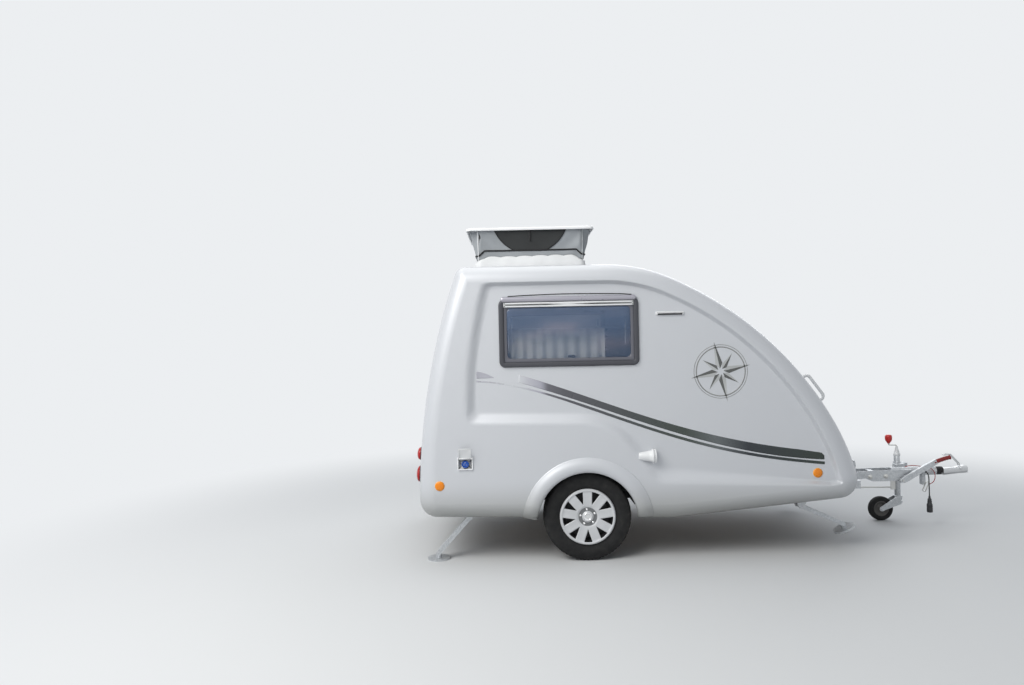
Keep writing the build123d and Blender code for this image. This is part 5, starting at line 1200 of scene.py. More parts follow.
quads = grid_faces(len(trim_r), angle.shape[1], close_columns=True, flip=True)
row = np.repeat(np.arange(len(trim_r) - 1), angle.shape[1])
column = np.tile(np.arange(angle.shape[1]), len(trim_r) - 1) % SPOKE_STEPS
window_face = (trim_r[row] > OPEN_FROM - 1e-4) & (trim_r[row] < OPEN_TO - 1e-4) & (column >= SPOKE_STEPS // 2)
quads, quad_r = quads[~window_face], trim_r[row[~window_face]]
quads_in_shaded_recess = (quad_r > 0.038) & (quad_r < 0.0655)
centre = len(trim_r) * angle.shape[1]
j = np.arange(angle.shape[1])
fan = [(a, b, centre) for a, b in zip(j, (j + 1) % angle.shape[1])]
trim_shape = (np.vstack([trim_points.reshape(-1, 3), (0, 0, 0.018)]), [*quads, *fan])
for name, side in SIDES:
    trim = new_piece(f"wheel_trim_{name}",
                     placed(trim_shape, (AXLE_X, side * TRIM_BACK, AXLE_Z), facing(side)), cover_silver,
                     body=f"wheel_{name}", replaces=[f"wheel_cover_{name}"])
    # Painted shade: the hollow round the nuts gets a darker metal.
    trim.data.materials.append(painted_recess_shade)
    shaded_recess = np.zeros(len(trim.data.polygons), int)
    shaded_recess[:len(quads)] = quads_in_shaded_recess
    trim.data.polygons.foreach_set("material_index", shaded_recess)
    thickened(trim, 0.003)
    nut = turned(20, mm((8.5, -1), (8.8, 3), (7.8, 6.2), (5, 8.5), (1.8, 9.4)))
    nuts = [placed(nut, (AXLE_X - side * across, side * (TRIM_BACK + 0.0095), AXLE_Z + rise), facing(side))
            for across, rise in zip(NUT_CIRCLE * np.cos(nut_angle), NUT_CIRCLE * np.sin(nut_angle))]
    cap = turned(36, mm((30, -2), (30.5, 2), (28.5, 4.2), (22, 5), (21.5, 4), (12, 4.8), (4, 5.2)))
    cap = placed(cap, (AXLE_X, side * (TRIM_BACK + 0.018), AXLE_Z), facing(side))
    new_piece(f"wheel_nuts_{name}", joined(*nuts, cap), chrome, body=f"wheel_{name}")

# %% [markdown]
# Inside, a pale moulded lining stands a hand's breadth in from the skin, with the
# same rounded outline at a larger gap. It has coarser steps than the skin, and it
# is open where the door, the windows and the hatch are.

# %% Cabin lining
LINING_GAP = 0.036
lining_t = np.linspace(0, 10, 161)[:-1]
lining_half = PANEL_HALF_WIDTH - LINING_GAP
LINING_ROUND = 0.08
roll = LINING_ROUND * (1 - np.cos(np.radians(np.linspace(0, 90, 7))))
flat_half = lining_half - 0.14
lining_y = np.concatenate([roll - lining_half, np.linspace(-flat_half, flat_half, 25),
                           lining_half - roll[::-1]])
inwards = np.minimum((lining_half - np.abs(lining_y)) / LINING_ROUND, 1)
lining_gap = LINING_GAP + LINING_ROUND - LINING_ROUND * np.sqrt(np.clip(1 - (1 - inwards) ** 2, 0, 1))
x, z = outline(np.mod(lining_t[None], 10), lining_y[:, None], lining_gap[:, None])
z = np.maximum(z, 0.482)
lining_rings = np.stack([x, np.broadcast_to(lining_y[:, None], x.shape), z], -1)
side_net_steps = np.linspace(0.02, 0.98, 30)
end_rings = []
for ring, side in ((lining_rings[0], -1), (lining_rings[-1], 1)):
    middle = np.array((AXLE_X - 0.2, side * lining_half, 1.25))
    end_rings.append(np.array([ring + (middle - ring) * s for s in side_net_steps]))
lining_all = np.concatenate([end_rings[0][::-1], lining_rings, end_rings[1]])
lining_faces = grid_faces(*lining_all.shape[:2], close_columns=True, flip=True)
cx, cy, cz = lining_all.reshape(-1, 3)[lining_faces].mean(1).T
cy = np.abs(cy)
gone = (cy > 0.8) & in_window(cx, cz, 0.03) | in_hatch(cx, cy, cz, 1.95) | in_door(cx, cy, cz)
gone |= (cy > 0.66) & (np.hypot(cx - AXLE_X, cz - AXLE_Z) < 0.37)
new_piece("cabin_lining", used_only(lining_all.reshape(-1, 3), lining_faces[~gone]), lining_white)

# %% [markdown]
# The rear door follows the leaning wall: each of its points finds how far back
# the wall is at that height. A rubber seal runs round it, and it carries a small
# tinted pane in a dark frame, a hinged handle and two hinge leaves.

# %% Rear door
def rear_x(y, z, out=0):
    """The rear wall at (y, z): a circle's arc, further back on the centre line."""
    crown = crown_at(y)
    return REAR_CENTRE[0] - REAR_CROWN * crown - out - np.sqrt(REAR_RADIUS ** 2 - (z - REAR_CENTRE[1]) ** 2)


def on_rear(shape, y0, z0):
    """A shape of (across, up, out) laid on the rear wall about (y0, z0)."""
    points, faces = shape
    y, z = y0 - points[:, 0], z0 + points[:, 1]
    return np.stack([rear_x(y, z, points[:, 2]), y, z], -1), faces


DOOR_Z, DOOR_B = (DOOR["low"] + DOOR["high"]) / 2, (DOOR["high"] - DOOR["low"]) / 2
DOOR_PANE_Z = 1.47
shares = np.linspace(0.95, 0.05, 16)
door_edge = rounded_rectangle(0.302, DOOR_B - 0.008, 0.055, 0.045, 8)
door_rings = rings_of(door_edge, [(-0.01, -0.026, s) for s in shares[::-1]]
                      + mm((-6, -26), (-1, -22), (0, -4), (-1.5, -0.8), (-5, 0))
                      + [(-0.005, 0, s) for s in shares])
new_piece("rear_door_panel", on_rear(solid(door_rings), 0, DOOR_Z), paint, body="rear_door",
          replaces=["rear_door"])
seal_shape = framed((DOOR["half"], DOOR_B, 0.06, 0.06, 8), mm(
    (-7, -20), (12, -4), (16, 1), (14, 6), (6, 7.5), (-3, 6), (-6.5, 1)), loop=True)
new_piece("door_seal", on_rear(seal_shape, 0, DOOR_Z), seal_rubber)
jamb_shape = framed((DOOR["half"] + 0.001, DOOR_B + 0.001, 0.06, 0.06, 8),
                    mm((-2, -45), (10, -45), (10, -2), (-2, -2)), loop=True)
new_piece("door_jamb", on_rear(jamb_shape, 0, DOOR_Z), lining_white)
pane_frame = framed((0.214, 0.184, 0.045, 0.06, 8), mm(
    (-26, -3), (0, -3), (1, 4), (-2, 9), (-8, 11), (-21, 10), (-25.5, 6)), loop=True)
new_piece("door_window_frame", on_rear(pane_frame, 0, DOOR_PANE_Z), frame_plastic, body="rear_door")
door_pane = framed((0.19, 0.16, 0.022, 0.06, 8), mm((0, 0), (0, 6.5), (-4, 8.5))
                   + [(-0.004, 0.0085 + 0.003 * (1 - s), s) for s in (0.9, 0.7, 0.5, 0.3, 0.1)])
new_piece("door_window_pane", on_rear(door_pane, 0, DOOR_PANE_Z), door_acrylic, body="rear_door",
          replaces=["door_window"])
HANDLE_Y, HANDLE_Z = -0.255, 0.8425
plate = rings_of(rounded_rectangle(0.028, 0.062, 0.012), mm((0, -4), (0, 6), (-3, 9.5), (-10, 10.5)))
grip_line = bent_line([(0, -0.044, 0), (0, -0.044, 0.034), (0, 0.044, 0.034), (0, 0.044, 0)], 0.012)
grip = bar(grip_line, 0.0085, 12)
lock = turned(20, mm((9, 9), (9, 12.5), (6, 13.5)))
handle_shape = joined(solid(plate), grip, placed(lock, (0.016, 0, 0)))
new_piece("rear_door_handle", on_rear(handle_shape, HANDLE_Y, HANDLE_Z), black_plastic, body="rear_door",
          replaces=["door_handle"])

# %% [markdown]
# Lamps are a dark or white base ring with a domed lens in it. A lens is a turned
# profile whose rise follows a flat ellipse, so its highlight is small and round.

# %% Lamps and plate
def lens_shape(radius, proud, count=40):
    """A dome: up = foot + rise * sqrt(1 - s^2) over the share s of its radius."""
    s = np.array([1, 0.97, 0.9, 0.75, 0.55, 0.3, 0.08])
    profile = [(radius, -0.002)] + [(radius * a, proud * (0.35 + 0.65 * math.sqrt(1 - a * a * 0.98)))
                                    for a in s]
    return turned(count, profile)


def base_ring(radius, inner, proud, count=40):
    """A rounded ring round a lens."""
    return turned(count, [(inner, -0.003), (radius, -0.003), (radius, 0.4 * proud),
                          (radius - 0.002, 0.8 * proud), (radius - 0.005, proud), (inner + 0.001, proud),
                          (inner, 0.7 * proud)], loop=True)


tail_lens, tail_ring = [], []
for side in (-1, 1):
    for z, radius in ((0.617, 0.062), (0.764, 0.05)):
        tail_lens.append(on_rear(lens_shape(radius - 0.006, 0.033), side * 0.745, z))
        tail_ring.append(on_rear(base_ring(radius, radius - 0.007, 0.009), side * 0.745, z))
new_piece("tail_lamp_lenses", joined(*tail_lens), red_lens, replaces=["tail_lamps"])
new_piece("tail_lamp_rings", joined(*tail_ring), black_plastic)
marker_lens, marker_ring = [], []
for side in (-1, 1):
    for x, z, y in ((-1.035, 0.558, HALF_WIDTH), (1.624, 0.59, None)):
        y = HALF_WIDTH - float(panel_depth(np.array([AXLE_X + x]), np.array([z]))[0]) if y is None else y
        spot = (AXLE_X + x, side * (y - 0.001), z)
        marker_lens.append(placed(lens_shape(0.03, 0.011, 32), spot, facing(side)))
        marker_ring.append(placed(base_ring(0.034, 0.0285, 0.006, 32), spot, facing(side)))
new_piece("marker_lamp_lenses", joined(*marker_lens), orange_lens, replaces=["marker_lamps"])
new_piece("marker_lamp_rings", joined(*marker_ring), orange_base)
plate_shape = framed((0.17, 0.1, 0.01, 0.04, 4), mm((0, -2), (0, 4), (-1.5, 6))
                     + [(-0.0015, 0.006, s) for s in (0.9, 0.7, 0.5, 0.3, 0.1)])
new_piece("number_plate_blank", on_rear(plate_shape, 0.52, 0.76), plate_white, replaces=["plate_panel"])
holder = framed((0.176, 0.106, 0.014, 0.04, 4), mm((-8, -3), (0, -3), (0, 6), (-2, 9), (-7, 9), (-9, 6)),
                loop=True)
new_piece("number_plate_holder", on_rear(holder, 0.52, 0.76), black_plastic)

# %% [markdown]
# The small white fittings on the near side: a mains inlet whose flap stands open
# over a blue socket, a round air outlet in a ringed cone, and a vent whose lower
# half carries a dark strip, painted shade under its edge.

# %% Inlet, outlet and vents
INLET = (AXLE_X - 0.853, -HALF_WIDTH, 0.709)
box_shape = framed((0.055, 0.041, 0.008), mm(
    (0, -2), (0, 9), (-1.5, 11.5), (-4, 12), (-6.5, 11.5), (-7.5, 10), (-8.5, 3.5), (-10, 3, 1),
    (-10, 3, 0.5)))
socket_shape = turned(36, mm(
    (20.5, 4), (24.5, 4), (25, 10), (25, 11.8), (24, 12.8), (21.5, 12.8), (20.5, 11.8)), loop=True)
socket_floor = turned(36, mm((20.5, 3), (20.5, 7.5), (19.5, 8)))
pins = [placed(turned(10, mm((2.8, 6), (2.8, 10.5), (1.8, 11.8))),
               (0.0105 * math.cos(a), 0.0105 * math.sin(a), 0))
        for a in (math.pi / 2, math.pi * 1.17, math.pi * 1.83)]
lug = framed((0.005, 0.006, 0.0045), mm((0, -1), (0, 13), (-1, 24), (-2, 25)))
lugs = [placed(lug, (a, 0.041, 0)) for a in (-0.05, 0.05)]
pin_bar = bar([(-0.055, 0.041, 0.019), (0.055, 0.041, 0.019)], 0.0025, 10)
new_piece("mains_inlet_box", placed(joined(box_shape, *lugs, pin_bar), INLET, facing(-1)), white_plastic,
          replaces=["inlet_box"])
new_piece("mains_inlet_socket", placed(joined(socket_shape, socket_floor), INLET, facing(-1)), blue_plastic)
new_piece("mains_inlet_pins", placed(joined(*pins), INLET, facing(-1)), zinc)
FLAP_RAISED = math.radians(152)
flap_shape = framed((0.0435, 0.0395, 0.006), mm(
    (-4, -1.5), (-1, -2.2), (0, -1), (0, 2), (-1.2, 3.2), (-4, 3.5), (-6, 3), (-8, 3, 0.9)))
points, faces = flap_shape
points = points + (0, -0.0425, 0)
barrel = bar([(-0.043, 0, 0), (0.043, 0, 0)], 0.0055, 16)
rib_shapes = [placed(framed((0.0012, 0.03, 0.001), mm((0, -5.5), (0, -1))), (a, -0.042, 0))
              for a in (-0.041, 0.041)]
points, faces = joined((points, faces), barrel, *rib_shapes)
c, s = math.cos(FLAP_RAISED), math.sin(FLAP_RAISED)
swung = points @ np.array([(1, 0, 0), (0, c, -s), (0, s, c)])
new_piece("mains_inlet_flap", placed((swung, faces), (INLET[0], INLET[1] - 0.019, INLET[2] + 0.041),
                                     facing(-1)), white_plastic, body="inlet_flap", replaces=["inlet_flap"])

COWL = (AXLE_X + 0.363, -HALF_WIDTH + 0.014, 0.736)
cone = rings_of(circle(44), mm(
    (18, -1), (23.5, 0), (25.5, 4), (30, 28), (36, 60), (41.5, 92), (50, 93.5), (50.5, 96), (50.5, 101.5),
    (49, 103.5), (40, 104.5), (40, 108.5), (49, 109.5), (50.5, 111.5), (50.5, 117), (49, 119.5), (40, 120),
    (35, 118.5), (33.5, 110), (33, 70)))
new_piece("air_outlet_cone", placed(solid(cone), COWL, FORWARDS), white_plastic, replaces=["wall_cowl"])
vent_shape = framed((0.1, 0.013, 0.008, 0.3), mm(
    (0, -1), (0, 6), (-1.5, 9), (-4, 10.2), (-8, 10.5), (-10, 10.5)))
# A dark strip along the vent's lower half: painted shade under the vent's edge.
vent_shadow_shape = framed((0.086, 0.0058, 0.003, 0.3), mm((0, 9.5), (0, 11.2), (-1, 11.8), (-2.8, 11.8)))
vents, vent_shadows = [], []
for side in (-1, 1):
    spot = (AXLE_X + 0.605, side * PANEL_HALF_WIDTH, 1.736)
    vents.append(placed(vent_shape, spot, facing(side)))
    vent_shadows.append(placed(vent_shadow_shape, (spot[0], spot[1], spot[2] - 0.0072), facing(side)))
new_piece("side_vent_plates", joined(*vents), white_plastic, replaces=["side_vents"])
new_piece("side_vent_shadow_strips", joined(*vent_shadows), black_plastic)

# %% [markdown]
# A white grab handle stands on each side of the nose. Its feet are square to the
# nose's skin: the skin's point is found where it has turned down by so many
# degrees, and the direction there points outwards.

# %% Grab handles
def nose_point(y, degrees, out):
    """The nose at y where its outline has turned down this far, moved out along its normal."""
    crown = crown_at(y)
    x, z, before = ROOF_BEND, ROOF_Z + ROOF_CROWN * crown, 0
    for radius_centre, radius_side, turn in FRONT_ARCS:
        radius = radius_side + (radius_centre - radius_side) * crown
        after = min(before + turn, degrees)
        a, b = math.radians(before), math.radians(after)
        x, z = x + radius * (math.sin(b) - math.sin(a)), z + radius * (math.cos(b) - math.cos(a))
        before = after
    way = math.radians(degrees)
    return np.array((x + out * math.sin(way), y, z + out * math.cos(way)))


handles = []
for side in (-1, 1):
    y = side * 0.6
    line = bent_line([nose_point(y, 51.6, -0.004), nose_point(y, 51.6, 0.062), nose_point(y, 56.2, 0.062),
                      nose_point(y, 56.2, -0.004)], 0.03, 10)
    handles.append(bar(line, 0.0112, 16))
    for degrees in (51.6, 56.2):
        base = nose_point(y, degrees, 0)
        normal = nose_point(y, degrees, 1) - base
        axes = np.array([(0, 1, 0), np.cross(normal, (0, 1, 0)), normal])
        foot = rings_of(circle(28), mm((22, -4), (22, 3), (20, 5.5), (14, 7.5), (12, 13), (10.5, 14)))
        handles.append(placed(solid(foot), base, axes))
new_piece("nose_grab_handles", joined(*handles), white_plastic, replaces=["grab_handles"])

# %% [markdown]
# Below the body everything is galvanised steel. The frame, the axle, the
# steadies and the drawbar keep their solids and get a zinc finish. Bolts with
# washers, the coupling's bellows and the cables' ends are made here.

# %% Bolts on the drawbar and the rails
def ahead(x):
    """Metres ahead of the axle, as a place along X."""
    return AXLE_X + x


def seat_on(node, x, z, side):
    """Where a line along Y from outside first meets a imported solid."""
    mesh = NODES[node].data
    points = np.empty(len(mesh.vertices) * 3)
    mesh.vertices.foreach_get("co", points)
    tree = BVHTree.FromPolygons(points.reshape(-1, 3).tolist(), [tuple(f.vertices) for f in mesh.polygons])
    hit = tree.ray_cast((x, side * 2, z), (0, -side, 0))
    return hit[0], hit[1]


bolts = []
for side in (-1, 1):
    for x, z in ((2.369, 0.402), (2.498, 0.404)):
        place, normal = seat_on("drawbar_arms", ahead(x), z, side)
        level = math.copysign(math.hypot(normal.x, normal.y), normal.y * side)
        outwards = np.array((normal.x, normal.y, 0)) / level
        axes = np.array([(-outwards[1], outwards[0], 0), (0, 0, 1), outwards])
        washer = turned(28, mm((19, -2), (19.5, 1.5), (18, 3.2), (11, 3.6)))
        bolts.append(placed(washer, place, axes))
        bolts.append(placed(bolt(0.0095), np.array(place) + 0.003 * outwards, axes))
new_piece("drawbar_bolts", joined(*bolts), zinc)

# %% [markdown]
# The handbrake lever is a steel channel, open below, with a dark red grip on
# its front end. The channel is one U-shaped ring carried along a straight line.

# %% Handbrake lever
LEVER_Y = -0.0925
PIVOT, CHANNEL_END, GRIP_END = (ahead(2.6), 0.362), (ahead(2.893), 0.521), (ahead(3.01), 0.554)
lever_way = np.array((CHANNEL_END[0] - PIVOT[0], CHANNEL_END[1] - PIVOT[1]))
lever_long = float(np.hypot(*lever_way))
lever_way /= lever_long
u_path = np.array([(-0.0125, -0.024), (-0.0095, -0.024), (-0.0095, 0.02), (0.0095, 0.02), (0.0095, -0.024),
                   (0.0125, -0.024), (0.0125, 0.021), (0.0105, 0.0235), (-0.0105, 0.0235), (-0.0125, 0.021)])
lever_axes = np.array([(0, 1, 0), (-lever_way[1], 0, lever_way[0]), (lever_way[0], 0, lever_way[1])])
deep = [(0, 0.45), (0.02, 0.8), (0.05, 1), (lever_long - 0.006, 0.86), (lever_long, 0.82)]
lever_rings = np.stack([np.concatenate([u_path * (1, share), np.full((len(u_path), 1), along)], 1)
                        for along, share in deep])
new_piece("handbrake_channel", placed(solid(lever_rings), (PIVOT[0], LEVER_Y, PIVOT[1]), lever_axes),
          galvanised, body="handbrake_lever", replaces=["handbrake_lever"], smooth=False)
grip_way = [(CHANNEL_END[0] + x, CHANNEL_END[1] + z)
            for x, z in ((-0.02, -0.01), (0.02, 0.006), (0.07, 0.022))]
grip_line = smooth_line([(x, LEVER_Y, z) for x, z in (*grip_way, GRIP_END)], 41)
f = np.linspace(0, 1, 41)
grip_radius = 0.0125 + 0.0012 * np.sin(math.pi * 7 * f) ** 2 + 0.002 * (f > 0.94)
grip_radius[[0, -1]] = 0.009
new_piece("handbrake_grip", bar(grip_line, grip_radius, 18, 1.25), grip_red, body="handbrake_lever")

# %% [markdown]
# The jockey leg is a steel tube under a white cap. The crank on top is a bent
# rod with a red barrel-shaped knob; both are turned profiles.

# %% Jockey leg and crank
LEG_Y = 0.15
LEG = (ahead(2.694), LEG_Y)
leg_tube = turned(32, mm((23.5, 200), (24, 202), (24, 548), (23, 550)))
new_piece("jockey_leg_tube", placed(leg_tube, (*LEG, 0)), galvanised, replaces=["jockey_tube"])
cap_profile = mm(
    (24.5, 538), (27, 540), (27, 552), (24, 556), (19.5, 572), (12, 592), (10.5, 612), (8.5, 615))
new_piece("jockey_leg_cap", placed(turned(32, cap_profile), (*LEG, 0)), white_plastic)
crank_x = ahead(2.628)
crank_line = bent_line([(LEG[0], LEG_Y, 0.6), (LEG[0], LEG_Y, 0.626), (crank_x, LEG_Y, 0.628),
                        (crank_x, LEG_Y, 0.66)], 0.012)
new_piece("jockey_crank_rod", bar(crank_line, 0.0052, 12), zinc)
knob_profile = mm(
    (8.5, 640), (11, 643), (15, 652), (23.5, 662), (27.5, 674), (28.5, 692), (27, 704), (22.5, 711),
    (13, 714.5))
new_piece("jockey_crank_knob", placed(turned(32, knob_profile), (crank_x, LEG_Y, 0)), red_plastic,
          replaces=["jockey_crank"])

# %% [markdown]
# The jockey wheel's fork is a pair of broad pressed plates under a cross plate,
# and the leg is held by a cast clamp with a toggle. A plate between two round
# ends is the outline round two circles, so one function gives them all.

# %% Fork plates and clamp
def link_plate(start, end, radius_start, radius_end, y, thickness):
    """A flat plate in an X-Z plane round two circles: half circles at both ends,
    joined by straight sides, and its edges rounded off by half a millimetre."""
    start, end = np.array(start, float), np.array(end, float)
    way = (end - start) / np.linalg.norm(end - start)
    across = np.array((-way[1], way[0]))
    turn = np.linspace(-math.pi / 2, math.pi / 2, 13)[:, None]
    far = end + radius_end * (np.cos(turn) * way + np.sin(turn) * across)
    near = start - radius_start * (np.cos(turn) * way + np.sin(turn) * across)
    edge = np.vstack([far, near])
    middle = edge.mean(0)
    rings = [middle + (edge - middle) * share for share in (0.97, 1, 1, 0.97)]
    levels = (-thickness / 2, -thickness / 2 + 0.0006, thickness / 2 - 0.0006, thickness / 2)
    stacked = np.stack([np.stack([ring[:, 0], np.full(len(ring), y - level), ring[:, 1]], -1)
                        for ring, level in zip(rings, levels)])
    return solid(stacked)


FORK_HUB, FORK_HEAD = (ahead(2.548), 0.1), (ahead(2.694), 0.188)
fork_parts = [link_plate(FORK_HUB, FORK_HEAD, 0.0205, 0.0235, LEG_Y + y, 0.0045) for y in (-0.0335, 0.0335)]
cross = rings_of(rounded_rectangle(0.026, 0.0355, 0.008), mm((0, 196), (0, 204.5), (-2, 206.5), (-12, 206.5)))
fork_parts.append(placed(solid(cross), (*LEG, 0)))
fork_parts += [placed(bolt(0.0085), (FORK_HUB[0], LEG_Y + y, FORK_HUB[1]), facing(math.copysign(1, y)))
               for y in (-0.0355, 0.0355)]
new_piece("jockey_fork_plates", joined(*fork_parts), galvanised, body="jockey_fork", smooth=False)
sleeve = placed(turned(28, mm(
    (24.5, 430), (30, 430), (31, 432), (31, 486), (30, 489), (24.5, 489)), loop=True), (*LEG, 0))
lug_shape = framed((0.03, 0.014, 0.006), mm((0, 438), (0, 478), (-3, 482), (-6, 482)))
lugs = [placed(lug_shape, (LEG[0] + 0.045, LEG[1] + y, 0)) for y in (-0.016, 0.016)]
arm = placed(framed((0.04, 0.034, 0.008), mm((0, 433), (0, 476), (-3, 481), (-8, 481))),
             (LEG[0] - 0.01, LEG[1] - 0.052, 0))
toggle = bar([(LEG[0] + 0.06, LEG[1] - 0.04, 0.462), (LEG[0] + 0.06, LEG[1] + 0.03, 0.462)], 0.0055, 12)
new_piece("jockey_clamp_casting", joined(sleeve, *lugs, arm, toggle), galvanised, replaces=["jockey_clamp"],
          smooth=False)

# %% [markdown]
# The coupling head is pressed from one sheet: a channel that widens to the round
# cup over the ball, on a flat lower flange. Sections square to its length are
# rounded boxes, and their half width, half height and middle follow four curves.

# %% Coupling head
HEAD_X = np.array((2.975, 2.99, 3.04, 3.09, 3.12, 3.145, 3.165, 3.18, 3.189, 3.194))
HEAD_HALF = np.array((0.0245, 0.0245, 0.024, 0.025, 0.03, 0.035, 0.036, 0.031, 0.022, 0.01))
HEAD_LOW = np.array((0.404, 0.404, 0.4075, 0.411, 0.413, 0.415, 0.4165, 0.419, 0.424, 0.434))
HEAD_HIGH = np.array((0.449, 0.451, 0.4545, 0.457, 0.464, 0.472, 0.4735, 0.47, 0.462, 0.45))
x = np.linspace(HEAD_X[0], HEAD_X[-1], 45)
half, low_z, high_z = (np.interp(x, HEAD_X, row) for row in (HEAD_HALF, HEAD_LOW, HEAD_HIGH))
turn = 2 * math.pi * np.arange(40) / 40
squared = [np.sign(w) * np.abs(w) ** 0.45 for w in (np.cos(turn), np.sin(turn))]
head_rings = np.stack([np.broadcast_to(ahead(x)[:, None], (len(x), 40)), half[:, None] * squared[0],
                       (low_z + high_z)[:, None] / 2 + (high_z - low_z)[:, None] / 2 * squared[1]], -1)
flange_x = np.linspace(2.99, 3.195, 24)
flange_half = np.interp(flange_x, (2.99, 3.1, 3.15, 3.175, 3.19, 3.195),
                        (0.031, 0.032, 0.042, 0.041, 0.03, 0.014))
flange_z = np.interp(flange_x, (2.99, 3.195), (0.4015, 0.4215))
corners = np.array([(-1, -0.0022), (-1, 0.0022), (1, 0.0022), (1, -0.0022)])
flange = np.stack([np.broadcast_to(ahead(flange_x)[:, None], (24, 4)), flange_half[:, None] * corners[:, 0],
                   flange_z[:, None] + corners[:, 1]], -1)
handle_line = bent_line([(ahead(3.128), 0, 0.47), (ahead(3.122), 0, 0.492), (ahead(3.052), 0, 0.566),
                         (ahead(3.002), 0, 0.56)], 0.014)
handle_bars = [bar(handle_line + (0, y, 0), 0.0052, 12) for y in (-0.013, 0.013)]
handle_grip = bar([(ahead(3.006), -0.017, 0.5605), (ahead(3.006), 0.017, 0.5605)], 0.0062, 12)
rivet = placed(turned(20, mm((11.5, -2), (11.5, 2), (9.5, 4.5), (4, 5.5))), (ahead(3.128), -0.0325, 0.452),
               facing(-1))
new_piece("coupling_head_pressing", joined(solid(head_rings), rivet), coupling_metal,
          replaces=["coupling_head"])
new_piece("coupling_head_flange", joined(solid(flange), *handle_bars, handle_grip), coupling_metal,
          smooth=False)

# %% [markdown]
# The rubber bellows over the overrun shaft is turned too: its radius
# is a row of rounded folds, fatter in the middle.

# %% Bellows on the overrun shaft
fold_count, fold_steps = 5, 8
s = np.linspace(0, 1, fold_count * fold_steps + 1)
fold = np.abs(np.sin(math.pi * fold_count * s)) ** 0.7
bellows_profile = [(0.0265, -0.0005)] + [(0.0265 + 0.0072 * f * (0.85 + 0.15 * math.sin(math.pi * a)),
                                          0.06 * a) for a, f in zip(s, fold)]
new_piece("shaft_bellows", placed(turned(40, bellows_profile), (ahead(2.93), 0, 0.432), FORWARDS),
          bellows_rubber, replaces=["overrun_bellows"])

# %% [markdown]
# The jockey wheel is a small solid rubber tyre on a plastic hub. The road
# wheels' way of turning a profile serves again.

# %% Jockey wheel
JOCKEY = (ahead(2.548), LEG_Y, 0.1)


def both_halves(profile):
    """A profile with its mirror image behind it."""
    return profile + [(radius, -up) for radius, up in profile[::-1]]


jockey_tyre = both_halves(mm(
    (62, -19), (70, -22.5), (82, -24.5), (93, -22.5), (98.5, -16.5), (99.8, -10), (96.5, -9), (96.5, -7),
    (100, -6)))
jockey_hub = both_halves(mm(
    (10.5, -24.5), (20, -24.5), (21, -20), (23, -12), (50, -12), (54, -21), (62.5, -21), (64, -18)))
new_piece("jockey_tyre", placed(turned(72, jockey_tyre, loop=True), JOCKEY, facing(1)), tyre_rubber,
          body="jockey_wheel", replaces=["jockey_wheel"])
new_piece("jockey_hub", placed(turned(48, jockey_hub, loop=True), JOCKEY, facing(1)), hub_plastic,
          body="jockey_wheel")
jockey_axle = bar([(JOCKEY[0], LEG_Y + y, JOCKEY[2]) for y in (-0.032, 0.032)], 0.008, 12)
new_piece("jockey_axle", jockey_axle, zinc, body="jockey_fork")

# %% [markdown]
# Two cables hang at the coupling. Each is one smooth spline whose control points
# are the model's own route: the electrics lead drops from the housing to its
# plug, and the thin breakaway cable goes from the plate over to its clip.

# %% Cables
def cable(name, route, radius, material, node, **facts):
    """A round cable along a route of (ahead of the axle, y, z) in millimetres."""
    curve = bpy.data.curves.new(name, "CURVE")
    curve.dimensions = "3D"
    curve.bevel_depth, curve.bevel_resolution, curve.resolution_u = radius, 4, 16
    curve.use_fill_caps = True
    spline = curve.splines.new("NURBS")
    spline.points.add(len(route) - 1)
    points = np.array(route, float) / 1000 + (AXLE_X, 0, 0)
    spline.points.foreach_set("co", np.hstack([points, np.ones((len(points), 1))]).ravel())
    spline.order_u = 3
    spline.use_endpoint_u = True
    curve.materials.append(material)
    piece = bpy.data.objects.new(name, curve)
    bpy.context.scene.collection.objects.link(piece)
    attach(piece, "caravan")
    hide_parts(node)
    return piece


LEAD_ROUTE = ((2830, -42, 432), (2830, -68, 432), (2836, -84, 402), (2835, -87, 352), (2837, -86, 292),
              (2837, -86, 243))
BREAKAWAY_ROUTE = ((2652, -65, 477), (2692, -62, 489), (2745, -56, 484), (2800, -52, 476), (2852, -51, 468),
                   (2890, -52, 446), (2905, -53, 408), (2901, -53, 368), (2882, -52, 340), (2855, -52, 331))
plug_profile = mm(
    (4, 2), (7, 0.5), (7.8, -6), (8.8, -13), (10.8, -20), (12, -24), (15, -25.5), (15.8, -30), (15, -32.5),
    (16.2, -36), (15.5, -39.5), (16.8, -43), (16.5, -55), (17.5, -60), (21.5, -67.5), (22, -70), (22, -90),
    (21.2, -91.5), (21.2, -94.5), (22, -96), (22, -128), (20.5, -131.5), (18, -132), (17.2, -124))
plug_shape = turned(36, plug_profile[::-1])
plug = new_piece("electrics_plug_body", placed(plug_shape, (ahead(2.837), -0.086, 0.243)), black_plastic,
                 replaces=["electrics_plug"])
cable("electrics_lead", LEAD_ROUTE, 0.0045, cable_jacket, "electrics_cable", length=0.217, far_end="plug",
      stiffness="medium", lay="hanging", with_pieces=[plug])
cable("breakaway_line", BREAKAWAY_ROUTE, 0.003, red_jacket, "breakaway_cable", length=0.386,
      far_end="fitting", stiffness="medium", lay="loose", with_pieces=[NODES["breakaway_clip"]])
relief = bar([(ahead(2.83), y, 0.432) for y in (-0.04, -0.05, -0.06)], [0.0085, 0.0075, 0.0058], 16)
new_piece("lead_strain_relief", relief, seal_rubber)

# %% [markdown]
# Every solid that still shows gets its finish here, by name.

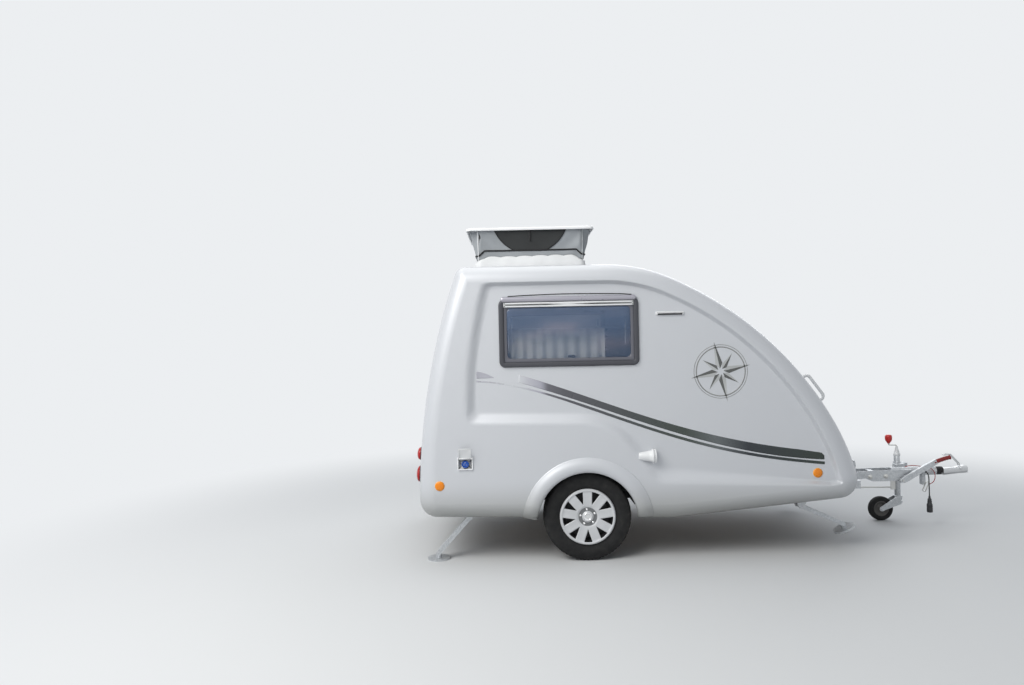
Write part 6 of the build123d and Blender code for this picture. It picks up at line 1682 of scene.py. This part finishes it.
# %% Finishes of the carried-over solids
FINISHES = (
    (floor_ply, "floor_panel"), (housing_plastic, "wheel_housing_right wheel_housing_left"),
    (black_plastic, "door_hinges"), (white_plastic, "roof_upstand"), (clear_lens, "front_lamps"),
    (galvanised, "chassis_frame axle_beam drawbar_arms overrun_body jockey_fork steady_front_right "
                 "steady_front_left steady_rear_right steady_rear_left"),
    (zinc, "brake_bracket brake_rod breakaway_clip"), (rim_steel, "wheel_right wheel_left"))
for finish, names in FINISHES:
    for name in names.split():
        node = NODES[name]
        for node_slot in node.material_slots:
            node_slot.material = finish
        if not node.material_slots:
            node.data.materials.append(finish)

# %% [markdown]
# The studio is one pale floor that fades into a pale world, so no horizon
# shows. Only camera, mirror and glass rays see that backdrop: the light on the
# caravan comes from a weaker, graded sky and three soft lamps, the
# brightest of them behind the viewer's left shoulder, as the sun was.

# %% Floor
BACKDROP = (0.84, 0.86, 0.88)
FLOOR_HALF = 60
FADE_START, FADE_END = 2.9, 6.2
floor_paint, tree, principled = shader("studio_floor", None, (0.66, 0.67, 0.68), 0.8, Specular_IOR_Level=0.1)
floor_corners = FLOOR_HALF * np.array([(-1, -1, 0), (1, -1, 0), (1, 1, 0), (-1, 1, 0)])
floor = new_piece("studio_floor", (floor_corners, [(0, 1, 2, 3)]), floor_paint)
floor.parent = None


def backdrop_rays(tree):
    """1 for the rays that should see the pale backdrop: camera, mirror and glass."""
    rays = add(tree, "LightPath").outputs
    mirror_or_glass = combined(tree, "MAXIMUM", rays["Is Glossy Ray"], rays["Is Transmission Ray"])
    return combined(tree, "MAXIMUM", rays["Is Camera Ray"], mirror_or_glass)


def mixed(tree, share, first, second):
    """Two shaders mixed: share 0 gives the first, 1 the second."""
    node = add(tree, "MixShader")
    for value, socket in zip((share, first.outputs[0], second.outputs[0]), node.inputs):
        tree.links.new(value, socket)
    return node.outputs[0]


distance = add(tree, "VectorMath", operation="LENGTH", Vector=coordinate(tree)).outputs["Value"]
fade = spread(tree, distance, 0, 1, FADE_START, FADE_END, interpolation_type="SMOOTHSTEP")
glow = add(tree, "Emission", Color=(*BACKDROP, 1))
output = next(node for node in tree.nodes if node.type == "OUTPUT_MATERIAL")
visible = combined(tree, "MULTIPLY", fade, backdrop_rays(tree))
feed(tree, output, Surface=mixed(tree, visible, principled, glow))

# %% World
world = bpy.data.worlds.new("studio")
bpy.context.scene.world = world
world.use_nodes = True
tree = world.node_tree
brightness = spread(tree, coordinate(tree, "X", "Generated"), 0.62, 0.22, -0.9, 0.9)
sky = feed(tree, tree.nodes["Background"], Strength=brightness, Color=(0.9, 0.95, 1, 1))
pale = add(tree, "Background", Color=(*BACKDROP, 1), Strength=1)
feed(tree, tree.nodes["World Output"], Surface=mixed(tree, backdrop_rays(tree), sky, pale))

# %% Lamps
def soft_lamp(name, place, target, size, power, colour=(1, 1, 1)):
    """A square area lamp that points at a target."""
    light = bpy.data.lights.new(name, "AREA")
    light.energy, light.size, light.color = power, size, colour
    lamp = bpy.data.objects.new(name, light)
    aim = np.array(target) - np.array(place)
    lamp.location = place
    tilt, heading = math.atan2(math.hypot(aim[0], aim[1]), -aim[2]), math.atan2(aim[1], aim[0])
    lamp.rotation_euler = (tilt, 0, heading - math.pi / 2)
    bpy.context.scene.collection.objects.link(lamp)
    return lamp


soft_lamp("key", (-4.9, -4.7, 5.4), (-1.4, 0, 0.9), 4.4, 385, (1, 0.985, 0.95))
soft_lamp("top", (-1.5, 1, 6.5), (-0.8, 0, 1.5), 5.5, 90, (1, 0.99, 0.97))
soft_lamp("back", (2.5, 6.5, 4.5), (0.3, 0, 1), 6, 190, (0.95, 0.97, 1))
bpy.context.scene.view_settings.view_transform = "Standard"
